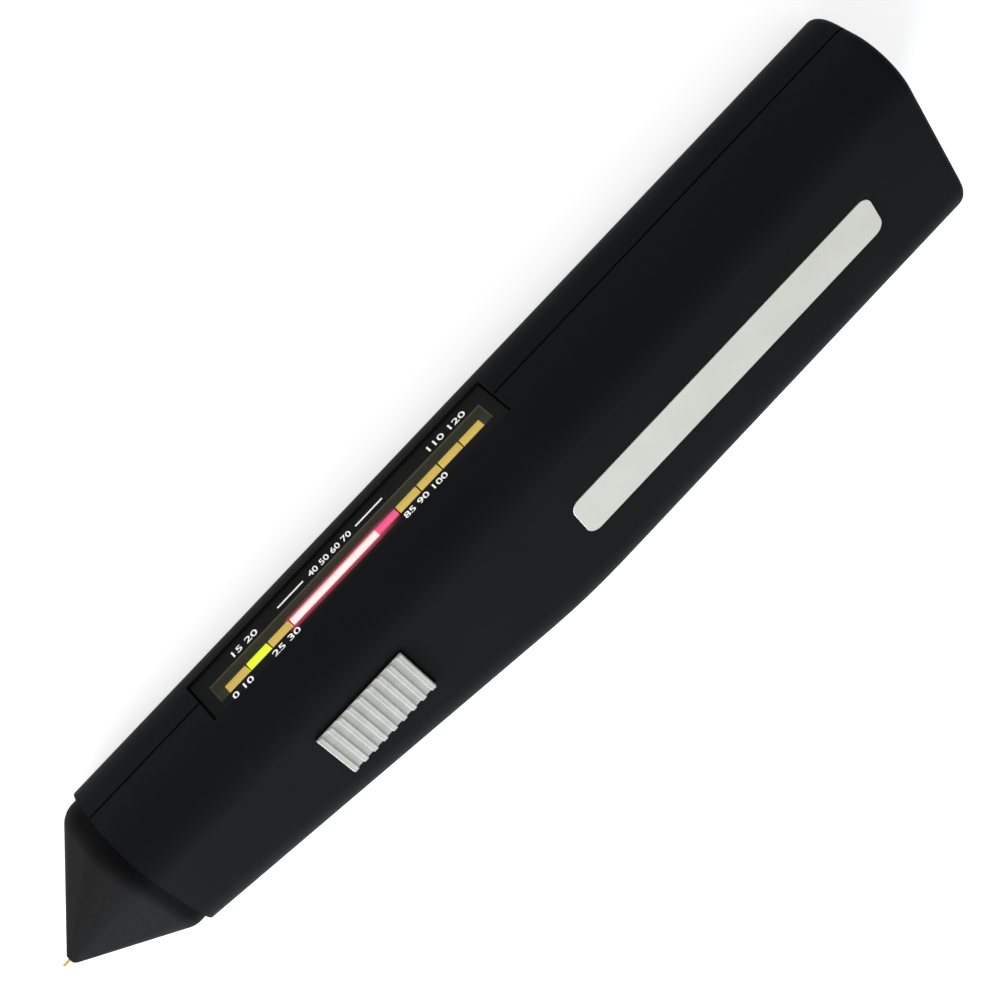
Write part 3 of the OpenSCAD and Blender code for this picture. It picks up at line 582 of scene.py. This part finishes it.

# %% [markdown]
# Moulded and cut pieces have the right shape in the CAD model, but every edge there is perfectly
# sharp. A Bevel modifier breaks each edge by a tenth of a millimetre or so, so that the rims catch a
# thin line of light, as moulded edges do. The result is kept as a plain mesh, without its modifiers.

# %% Broken edges
def baked(source):
    """The plain mesh that an object's modifiers make. The object itself is removed."""
    depsgraph = bpy.context.evaluated_depsgraph_get()
    mesh = bpy.data.meshes.new_from_object(source.evaluated_get(depsgraph), depsgraph=depsgraph)
    bpy.data.objects.remove(source)
    return mesh


def helper_object(mesh):
    """A temporary object that carries modifiers for a mesh."""
    source = bpy.data.objects.new("helper", mesh)
    bpy.context.scene.collection.objects.link(source)
    return source


def broken(mesh, width, segments=2):
    """The mesh with a small bevel on every hard edge, and its flat faces kept flat."""
    source = helper_object(mesh)
    bevel = source.modifiers.new("broken_edges", "BEVEL")
    bevel.width = width * MM
    bevel.segments = segments
    bevel.limit_method = "ANGLE"
    bevel.angle_limit = math.radians(SHARP_DEGREES)
    bevel.harden_normals = True
    bevel.use_clamp_overlap = True
    return baked(source)


print("edge helpers: baked, helper_object, broken")

# %% [markdown]
# A CAD mesh is loose triangles, which a bevel can't work on. So a copy is merged, laid flat where two
# parts of its form differ by a hair, and its flat triangles are joined into faces. Drawing the shapes
# anew would give cleaner faces, but also shapes that differ from the solids.

# %% Copies of CAD shapes
SAME_POINT = 0.001 * MM
SLIVER = 0.03 * MM
HAIR = 0.06 * MM
FLAT_DEGREES = 0.4


def cad_copy(node, levels=()):
    """A merged copy of a CAD mesh with its near-flat faces joined, laid onto the given z levels."""
    mesh = nodes[node].data.copy()
    if "custom_normal" in mesh.attributes:
        mesh.attributes.remove(mesh.attributes["custom_normal"])
    work = bmesh.new()
    work.from_mesh(mesh)
    bmesh.ops.remove_doubles(work, verts=work.verts, dist=SAME_POINT)
    for vert in work.verts:
        for level in levels:
            if abs(vert.co.z - level) < HAIR:
                vert.co.z = level
    bmesh.ops.remove_doubles(work, verts=work.verts, dist=SLIVER)
    bmesh.ops.dissolve_degenerate(work, edges=work.edges, dist=SAME_POINT)
    bmesh.ops.dissolve_limit(work, verts=work.verts, edges=work.edges,
                             angle_limit=math.radians(FLAT_DEGREES))
    work.to_mesh(mesh)
    work.free()
    shade(mesh)
    return mesh


print("copies: merged within", SAME_POINT / MM, "mm, flat within", FLAT_DEGREES, "degrees")

# %% [markdown]
# The outside of the shells is one smooth form, but the mesh follows it in narrow strips, and light
# on a dark matte surface shows each change between them. So the shading normals are taken from the
# form itself. For a point on the outside, the function below finds the way out of the form: across
# the nearest long edge, off the flat broad side, or round the rim of the rear end. The sizes are
# those of the CAD model.

# %% Form of the shells
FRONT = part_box("label_side_shell")[0].x / MM
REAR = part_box("label_side_shell")[1].x / MM
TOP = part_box("label_side_shell")[1].y / MM
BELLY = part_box("label_side_shell")[0].y / MM
MID = Z_MID / MM
HALF_WIDTH = 12.5
CORNER_R = 10.2
FRONT_DEPTH = 31.4
REAR_R = 1.8
BEND_R = 97
BEND_FROM_FRONT = 83
RISE = math.atan((TOP - BELLY - FRONT_DEPTH) / BEND_FROM_FRONT)
BEND_X = FRONT + BEND_FROM_FRONT + BEND_R * math.tan(RISE / 2)
BEND_Y = BELLY + BEND_R


def belly_side(x, y):
    """Direction out of the belly near a point, and the depth of the point inside it."""
    if x > BEND_X:
        return Vector((0, -1, 0)), y - BELLY
    turned = min(math.atan2(BEND_X - x, BEND_Y - y), RISE)
    out = Vector((-math.sin(turned), -math.cos(turned), 0))
    return out, BEND_R - out.dot(Vector((x - BEND_X, y - BEND_Y, 0)))


def shell_form(point):
    """Direction out of the shells' form at a point, and the depth of the point inside it."""
    x, y, z = point
    side = Vector((0, 0, math.copysign(1, z - MID)))
    edge, depth = belly_side(x, y)
    if TOP - y < depth:
        edge, depth = Vector((0, 1, 0)), TOP - y
    beside = abs(z - MID) - (HALF_WIDTH - CORNER_R)
    if depth >= CORNER_R:
        out, depth = side, HALF_WIDTH - abs(z - MID)
    elif beside <= 0:
        out = edge
    else:
        out = edge * (CORNER_R - depth) + side * beside
        depth = CORNER_R - out.length
        out.normalize()
    past = x - (REAR - REAR_R)
    if past > 0:
        rim = Vector((past, 0, 0)) + out * max(REAR_R - depth, 0)
        out, depth = rim.normalized(), REAR_R - rim.length
    return out, depth


print("the belly rises by", round(math.degrees(RISE), 2), "degrees to the front")

# %% [markdown]
# The normals go onto a mesh corner by corner. A corner keeps its own where it lies off the form, as
# in a recess, or where its face looks another way, as on a broken edge. Subdividing the meshes
# would also smooth them, but it would soften the seams.

# %% Normals from a form
FORM_LEAN = 0.8


def lay_normals(mesh, form, reach, lean=FORM_LEAN):
    """Shading normals from a form, for face corners within reach of it that face nearly its way."""
    normals = [corner.vector.copy() for corner in mesh.corner_normals]
    laid = 0
    for face in mesh.polygons:
        for index in face.loop_indices:
            out, depth = form(mesh.vertices[mesh.loops[index].vertex_index].co / MM)
            if abs(depth) < reach and out.dot(face.normal) > lean:
                normals[index] = out
                laid += 1
    mesh.normals_split_custom_set(normals)
    return laid


print("normals are laid where a face leans less than", round(math.degrees(math.acos(FORM_LEAN))),
      "degrees")

# %% [markdown]
# Two half shells make the body, and the battery door is a cut from the same form on the hidden side.
# Their CAD shapes are right, seam, recesses and all, so each piece is a copy with broken edges and
# with normals from the form. The two broad sides are laid exactly flat first.

# %% Half shells and battery door
SHELL_BREAK = 0.12
SHELL_REACH = 0.3
broad_sides = (0, 2 * HALF_WIDTH * MM)
for name, node, body in (("label_side_half", "label_side_shell", "case"),
                         ("back_side_half", "back_side_shell", "case"),
                         ("battery_cover", "battery_door", "door")):
    skin = broken(cad_copy(node, broad_sides), SHELL_BREAK)
    laid = lay_normals(skin, shell_form, SHELL_REACH)
    add_piece(name, skin, shell_black, body, "shell_black", node)
    print(name, len(skin.polygons), "faces,", laid, "corners laid on the form")

# %% [markdown]
# The nose cone has a straight collar at the rim, a rounded shoulder ahead of it, and flanks that run
# straight from there to the blunt tip. Its sections are rounded rectangles that shrink to a circle,
# and the flanks leave the shoulder where they touch it, which is further round on the display side
# than on the belly side. This place depends on the direction, and the direction on the place, so
# both are found in a few rounds.

# %% Form of the nose
RIM_STEP = 1.0
COLLAR = 1.6
SHOULDER_R = 4.4
TIP_R = 1.3
TIP_ROUND = 0.4
PROBE_Y = sum(corner.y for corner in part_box("probe_pin")) / 2 / MM
TIP_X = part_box("nose_cone")[0].x / MM
TIP_AHEAD = FRONT - TIP_X - TIP_ROUND
SECTION_Y = TOP - FRONT_DEPTH / 2
SECTION_HALF = (FRONT_DEPTH / 2 - CORNER_R, HALF_WIDTH - CORNER_R)
FIRST_TURN = 0.6
ROUNDS = 5


def flank_turn(across):
    """How far round the shoulder the flank that faces a direction across the nose leaves it."""
    drop = ((SECTION_Y - PROBE_Y) * across.y + SECTION_HALF[0] * abs(across.y)
            + SECTION_HALF[1] * abs(across.z) + CORNER_R - RIM_STEP - TIP_R)
    turn = FIRST_TURN
    for _ in range(ROUNDS):
        turn = math.atan2(drop - SHOULDER_R * (1 - math.cos(turn)),
                          TIP_AHEAD - COLLAR - SHOULDER_R * math.sin(turn))
    return turn


def nose_form(point):
    """Direction out of the nose cone at a point, and the depth of the point inside it."""
    x, y, z = point
    ahead = FRONT - x
    turn = FIRST_TURN
    for _ in range(ROUNDS):
        flank_from = COLLAR + SHOULDER_R * math.sin(turn)
        along = min(max((ahead - flank_from) / (TIP_AHEAD - flank_from), 0), 1)
        from_middle = (y - SECTION_Y * (1 - along) - PROBE_Y * along, z - MID)
        held = [min(max(value, -half * (1 - along)), half * (1 - along))
                for value, half in zip(from_middle, SECTION_HALF)]
        across = Vector((0, from_middle[0] - held[0], from_middle[1] - held[1]))
        reach = across.length
        across.normalize()
        turn = flank_turn(across)
    lean = min(math.asin(min(max((ahead - COLLAR) / SHOULDER_R, 0), 1)), turn)
    radius = (CORNER_R - RIM_STEP - SHOULDER_R * (1 - math.cos(lean))) * (1 - along) + TIP_R * along
    radius -= max(TIP_X + TIP_ROUND - x, 0)
    out = across * math.cos(lean) - Vector((math.sin(lean), 0, 0))
    depth = radius - reach if ahead > 0 else CORNER_R
    return out, depth


print("nose:", round(FRONT - TIP_X, 1), "mm ahead of the rim")

# %% [markdown]
# The collar is painted darker than the flanks. This is a painted shadow of the rim, standing in for
# the shade it casts on the collar. A second material would end in a hard line, so the finish of the
# nose gets a band of painted shadow that fades out round the shoulder.

# %% Collar band of painted shadow
RIM_SHADOW_BLACK = (0.0056, 0.0055, 0.0058)
BAND_TO = 4.2
nose_tree = nose_grey.node_tree
rim_shadow_span = ((FRONT - BAND_TO) * MM, (FRONT - COLLAR) * MM)
rim_shadow_mask = ranged(nose_tree, object_axes(nose_tree)["X"], rim_shadow_span, smooth=True)
# Painted shadow: the collar's colour is darkened where the rim's shade falls.
tint(nose_tree, rim_shadow_mask, RIM_SHADOW_BLACK)
print("collar band:", round(BAND_TO - COLLAR, 1), "mm to fade")

# %% [markdown]
# The nose itself is a copy of its CAD shape, with its normals laid on this form in the same way as
# those of the shells. It has no sharp edge in sight, so none is broken.

# %% Nose cone
NOSE_SHARP = 40
NOSE_REACH = 0.35
NOSE_LEAN = 0.85
nose_mesh = cad_copy("nose_cone")
shade(nose_mesh, NOSE_SHARP)
laid = lay_normals(nose_mesh, nose_form, NOSE_REACH, NOSE_LEAN)
add_piece("nose_skin", nose_mesh, nose_grey, "case", "nose_grey", "nose_cone")
print("nose cone:", len(nose_mesh.polygons), "faces,", laid, "corners laid on the form")

# %% [markdown]
# The probe pin is a turned wire with a round point. Turned things are easiest as a lathe: rings of
# points from a list of stations and radii, joined side by side and closed at both ends.

# %% Probe pin
TURNED_SHARP = 50


def lathe(stations, y, z, sides=24):
    """A closed turned mesh along X from (x, radius) stations, in millimetres."""
    mesh = bpy.data.meshes.new("lathe")
    work = bmesh.new()
    rings = []
    for x, radius in stations:
        turns = [2 * math.pi * k / sides for k in range(sides)]
        rings.append([work.verts.new(Vector((x, y + radius * math.cos(a), z + radius * math.sin(a)))
                                     * MM) for a in turns])
    for first, second in zip(rings, rings[1:]):
        for k in range(sides):
            after = (k + 1) % sides
            work.faces.new((first[k], first[after], second[after], second[k]))
    work.faces.new(rings[0])
    work.faces.new(rings[-1])
    bmesh.ops.recalc_face_normals(work, faces=work.faces)
    work.to_mesh(mesh)
    work.free()
    shade(mesh, TURNED_SHARP)
    return mesh


pin_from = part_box("probe_pin")[0].x / MM
pin_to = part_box("probe_pin")[1].x / MM
PIN_R = 0.3
POINT_LEN = 0.4
POINT_ANGLES = (12, 30, 50, 70, 90)
pin_stations = [(pin_from + POINT_LEN * (1 - math.cos(math.radians(a))),
                 PIN_R * math.sin(math.radians(a))) for a in POINT_ANGLES]
pin_mesh = lathe(pin_stations + [(pin_to, PIN_R)], PROBE_Y, MID)
add_piece("round_pin", pin_mesh, pin_brass, "probe", "pin_brass", "probe_pin")
print("pin:", round(pin_to - pin_from, 2), "mm long")

# %% [markdown]
# The ribs of the slide and the lamps are rows: one shape, repeated at an even pitch. A Geometry
# Nodes tree makes both. Its inputs are the shape, the number, the pitch and the finish. It puts a
# copy on each point of a line and ends in Realize Instances and Set Material, so that the row is
# plain geometry.

# %% Row tree
row_tree = bpy.data.node_groups.new("row_along_x", "GeometryNodeTree")
row_inputs = {}
for label, kind in (("Shape", "NodeSocketGeometry"), ("Count", "NodeSocketInt"),
                    ("Pitch", "NodeSocketFloat"), ("Finish", "NodeSocketMaterial")):
    row_inputs[label] = row_tree.interface.new_socket(label, in_out="INPUT", socket_type=kind)
row_tree.interface.new_socket("Row", in_out="OUTPUT", socket_type="NodeSocketGeometry")
row_in = row_tree.nodes.new("NodeGroupInput")
row_out = row_tree.nodes.new("NodeGroupOutput")
step = row_tree.nodes.new("ShaderNodeCombineXYZ")
line = row_tree.nodes.new("GeometryNodeMeshLine")
copies = row_tree.nodes.new("GeometryNodeInstanceOnPoints")
solid = row_tree.nodes.new("GeometryNodeRealizeInstances")
painted = row_tree.nodes.new("GeometryNodeSetMaterial")
row_links = ((row_in, "Pitch", step, "X"), (row_in, "Count", line, "Count"),
             (step, "Vector", line, "Offset"), (line, "Mesh", copies, "Points"),
             (row_in, "Shape", copies, "Instance"), (copies, "Instances", solid, "Geometry"),
             (solid, "Geometry", painted, "Geometry"), (row_in, "Finish", painted, "Material"),
             (painted, "Geometry", row_out, "Row"))
for giver, output, taker, label in row_links:
    row_tree.links.new(giver.outputs[output], taker.inputs[label])
print("row tree inputs:", list(row_inputs))

# %% [markdown]
# Three small helpers go with the tree. One puts a shape through it and keeps the result as a plain
# mesh, one draws a flat outline along Y to a closed block, and one joins meshes. Blocks drawn point
# by point have no more faces than they need, so that their bevels stay clean.

# %% Rows, blocks and joined meshes
def in_row(mesh, count, pitch, material):
    """The mesh repeated along X, as one plain mesh."""
    source = helper_object(mesh)
    row = source.modifiers.new("row", "NODES")
    row.node_group = row_tree
    row[row_inputs["Count"].identifier] = count
    row[row_inputs["Pitch"].identifier] = pitch * MM
    row[row_inputs["Finish"].identifier] = material
    return baked(source)


def prism(profile, axis_from, axis_to):
    """A closed mesh: an (x, z) profile drawn along Y, in millimetres."""
    mesh = bpy.data.meshes.new("prism")
    work = bmesh.new()
    ends = [[work.verts.new(Vector((x, y, z)) * MM) for x, z in profile]
            for y in (axis_from, axis_to)]
    work.faces.new(ends[0])
    work.faces.new(list(reversed(ends[1])))
    for k in range(len(profile)):
        after = (k + 1) % len(profile)
        work.faces.new((ends[0][k], ends[1][k], ends[1][after], ends[0][after]))
    bmesh.ops.recalc_face_normals(work, faces=work.faces)
    work.to_mesh(mesh)
    work.free()
    shade(mesh)
    return mesh


def joined(*meshes):
    """Several meshes as one."""
    work = bmesh.new()
    for mesh in meshes:
        work.from_mesh(mesh)
    mesh = bpy.data.meshes.new("joined")
    work.to_mesh(mesh)
    work.free()
    shade(mesh)
    return mesh


print("row helpers: in_row, prism, joined")

# %% [markdown]
# The slide is a silver cap with nine narrow ribs and wide grooves for the thumb. One wavy profile
# could make it, but its long sides would stand as bright walls on the black shell. So the ribs stand
# on a thin silver layer, and this on a dark foot in the shells' black. The foot is a painted shadow
# that stands for the shade in the gap under a real cap.

# %% Ribbed slide
slide_low, slide_high = (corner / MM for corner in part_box("power_slide"))
RIBS = 9
RIB_FOOT = 1.25
RIB_CROWN = 0.85
SHADOW_FOOT_T = 0.3
FLOOR_T = 0.42
LAP = 0.02
RIB_BREAK = 0.05
LAYER_BREAK = 0.04
SHADOW_FOOT_BREAK = 0.06
rib_pitch = (slide_high.x - slide_low.x - RIB_FOOT) / (RIBS - 1)
rib_flank = (RIB_FOOT - RIB_CROWN) / 2
rib_low = slide_low.z + FLOOR_T - LAP


def slide_layer(low, high):
    """A flat block over the slide's whole outline, between two heights above its underside."""
    return prism([(slide_low.x, slide_low.z + low), (slide_high.x, slide_low.z + low),
                  (slide_high.x, slide_low.z + high), (slide_low.x, slide_low.z + high)],
                 slide_low.y, slide_high.y)


rib = prism([(slide_low.x, rib_low), (slide_low.x + RIB_FOOT, rib_low),
             (slide_low.x + RIB_FOOT - rib_flank, slide_high.z),
             (slide_low.x + rib_flank, slide_high.z)], slide_low.y, slide_high.y)
ribs = in_row(broken(rib, RIB_BREAK), RIBS, rib_pitch, slide_silver)
layer = broken(slide_layer(SHADOW_FOOT_T - LAP, FLOOR_T), LAYER_BREAK)
add_piece("ribbed_cap", joined(layer, ribs), slide_silver, "slide", "satin_silver", "power_slide")
# Painted shadow: the foot is black where only shade falls under the cap.
shadow_foot = broken(slide_layer(0, SHADOW_FOOT_T), SHADOW_FOOT_BREAK)
add_piece("slide_shadow_foot", shadow_foot, shell_black, "slide", "shell_black")
print("slide:", RIBS, "ribs at", round(rib_pitch, 3), "mm on a dark foot")

# %% [markdown]
# The twelve lamps stand in one line under the window, each a small block with rounded edges. The
# four red ones run together into one bright bar, so they are nearly as long as the pitch, and the
# others leave a thin dark gap. Each kind is one row from the tree, a little nearer to the plate's
# side than the middle, as the photograph shows it.

# %% Row of lamps
LAMP_PITCH = 5.08
LAMP_LEN = 4.75
BLENDED_LEN = 5.06
LENS_BREAK = 0.12
LENS_SEGMENTS = 3
lamp_rows = (("lens_low_battery", "lamp_low_battery", 1, LAMP_LEN, lamp_amber, "lamp_amber"),
             ("lens_ready", "lamp_ready", 1, LAMP_LEN, lamp_green, "lamp_green_lit"),
             ("lens_metal", "lamp_metal", 1, LAMP_LEN, lamp_amber, "lamp_amber"),
             ("lenses_bar_lit", "lamps_bar_lit", 4, BLENDED_LEN, lamp_red, "lamp_red_lit"),
             ("lens_bar_edge", "lamp_bar_edge", 1, LAMP_LEN, lamp_pink, "lamp_pink_lit"),
             ("lenses_bar_unlit", "lamps_bar_unlit", 4, LAMP_LEN, lamp_amber, "lamp_amber"))
lamp_low, lamp_high = (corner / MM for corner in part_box("lamp_low_battery"))
for name, node, count, length, material, slot in lamp_rows:
    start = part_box(node)[0].x / MM
    end = start + length
    lens_box = prism([(start, lamp_low.z), (end, lamp_low.z), (end, lamp_high.z),
                      (start, lamp_high.z)], lamp_low.y, lamp_high.y)
    lens_box.transform(Matrix.Translation((0, 0, LENS_SHIFT * MM)))
    row = in_row(broken(lens_box, LENS_BREAK, LENS_SEGMENTS), count, LAMP_PITCH, material)
    shade(row)
    add_piece(name, row, material, "case", slot, node)
print("lamps:", sum(entry[2] for entry in lamp_rows))

# %% [markdown]
# The panel and the window keep their CAD shapes with broken edges. Three fine corrections bring the
# panel closer to the photograph: its face lies a little deeper, its sides stand a little further out,
# so that only a thin line of shadow is left between it and the shells, and its opening is narrower
# on the far side and wider on the near one. The window follows it.

# %% Panel and window
PANEL_HALF = 4.6
PANEL_SPREAD = 0.28
CAD_OPENING = 2.4
NEAR_ENOUGH = 0.2
EDGE_BREAK = 0.1


def display_shape(mesh):
    """Moves the sides, the opening and the face of a display piece to their finer places."""
    for vert in mesh.vertices:
        beside = vert.co.z / MM - MID
        if abs(abs(beside) - PANEL_HALF) < NEAR_ENOUGH:
            vert.co.z += math.copysign(PANEL_SPREAD * MM, beside)
        if abs(beside - CAD_OPENING) < NEAR_ENOUGH:
            vert.co.z += (OPENING_NEAR - CAD_OPENING) * MM
        if abs(beside + CAD_OPENING) < NEAR_ENOUGH:
            vert.co.z += (OPENING_FAR + CAD_OPENING) * MM
        vert.co.y = min(vert.co.y, PANEL_FACE)
    return mesh


panel_mesh = broken(display_shape(cad_copy("display_bezel")), EDGE_BREAK)
add_piece("panel_frame", panel_mesh, panel_black, "case", "panel_black", "display_bezel")
window_mesh = broken(display_shape(cad_copy("display_window")), EDGE_BREAK)
add_piece("window_strip", window_mesh, window_smoked, "case", "window_smoked", "display_window")
print("panel and window:", len(panel_mesh.polygons), "and", len(window_mesh.polygons), "faces")

# %% [markdown]
# The bare plate, the battery and the screws need nothing but broken edges: fine ones on the stamped
# plate and the screw heads, and wide round ones on the battery's can.

# %% Plate, battery and screws
for name, node, width, segments, material, slot in (
        ("bare_plate", "side_plate", 0.09, 3, plate_silver, "satin_silver"),
        ("battery_block", "battery", 0.8, 4, battery_can, "battery_grey"),
        ("case_screws", "shell_screws", EDGE_BREAK, 2, bright_steel, "bright_steel")):
    mesh = broken(cad_copy(node), width, segments)
    add_piece(name, mesh, material, "case", slot, node)
    print(name, len(mesh.polygons), "faces")

# %% [markdown]
# Two rows of small white marks stand beside the window: a plain scale of numbers, and two thin
# lines on both sides of the middle group. A texture could hold them, but it would blur up close, so
# each is a mesh that is drawn to its place and width on the face of the panel, as thin as a print.
# The table gives each text with its start and end along the panel, and its row.

# %% Places of the prints
PRINT_H = 1.3
PRINT_T = 0.02
PRINT_SUNK = 0.004
FAR_ROW = 9.65
NEAR_ROW = 16.4
LINE_H = 0.32
PANEL_OFFSET = 26.1
PANEL_FROM = FRONT + PANEL_OFFSET
prints = (("0 10", 4.4, 9.0, NEAR_ROW), ("25 30", 13.8, 20.0, NEAR_ROW),
          ("85 90 100", 44.9, 54.8, NEAR_ROW), ("15 20", 8.9, 14.6, FAR_ROW),
          ("40 50 60 70", 27.0, 36.9, FAR_ROW), ("110 120", 55.6, 64.3, FAR_ROW))
print_lines = ((19.6, 25.7), (38.2, 44.6))


def print_block(mesh, start, end, z, height):
    """Fits a flat mesh to its place on the panel, reading along X with its top away from the slide."""
    low = [min(vert.co[k] for vert in mesh.vertices) for k in range(3)]
    size = [max(vert.co[k] for vert in mesh.vertices) - low[k] for k in range(3)]
    for vert in mesh.vertices:
        u, v, w = ((vert.co[k] - low[k]) / size[k] for k in range(3))
        vert.co = Vector((PANEL_FROM + start + (end - start) * u,
                          PANEL_FACE / MM - PRINT_SUNK + PRINT_T * w,
                          z + height * (0.5 - v))) * MM
    return mesh


print("prints:", [entry[0] for entry in prints], "and", len(print_lines), "lines")

# %% [markdown]
# Blender's own font draws the numbers. It is made a little bolder through the curve's offset, and a
# small extrusion gives it the thickness that is then drawn to that of a print. The lines are plain
# blocks of the same thickness.

# %% Number prints
TEXT_DEPTH = 0.01
TEXT_BOLDER = 0.012
TEXT_STEPS = 4
blocks = []
for body, start, end, z in prints:
    text = bpy.data.curves.new("print", "FONT")
    text.body = body
    text.extrude = TEXT_DEPTH
    text.offset = TEXT_BOLDER
    text.resolution_u = TEXT_STEPS
    source = bpy.data.objects.new("print", text)
    bpy.context.scene.collection.objects.link(source)
    blocks.append(print_block(baked(source), start, end, z, PRINT_H))
for start, end in print_lines:
    bar = prism([(0, 0), (1, 0), (1, 1), (0, 1)], 0, 1)
    blocks.append(print_block(bar, start, end, FAR_ROW, LINE_H))
add_piece("number_prints", joined(*blocks), print_white, "case", "satin_silver")
print("prints:", len(blocks))

# %% [markdown]
# The spring behind the probe's head gives way when the probe is pressed, and its rear end stays on
# the plug. Here it is a copy of its CAD shape on a mesh of its own.

# %% Probe spring
spring = add_piece("coil_spring", cad_copy("probe_spring"), bright_steel, "case", "bright_steel",
                   "probe_spring")
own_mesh(spring)

# %% [markdown]
# What is left is out of sight inside: the board with its parts, the probe's head and plug, the
# switch and the snap. Their CAD shapes are right as they are, so they only get their finishes.

# %% Finishes of the inner pieces
node_finish = {
    "probe_head": head_copper, "probe_plug": nose_grey,
    "lamp_holder": holder_olive, "main_board": board_green, "board_chips": chip_black,
    "trimmer": trimmer_blue, "buzzer": chip_black, "slide_switch": bright_steel,
    "switch_lever": chip_black, "slide_keeper": chip_black, "battery_snap": chip_black,
    "board_screws": bright_steel,
}
for name, material in node_finish.items():
    nodes[name].material_slots[0].material = material
print("inner pieces:", len(node_finish))

# %% [markdown]
# The dressed tester has to keep the size of the CAD model, so the box of the CAD model is printed.

# %% Print the CAD box
cad_sides = [round((high - low) / MM, 2) for low, high in zip(*cad_box)]
print("CAD box:", cad_sides, "mm")
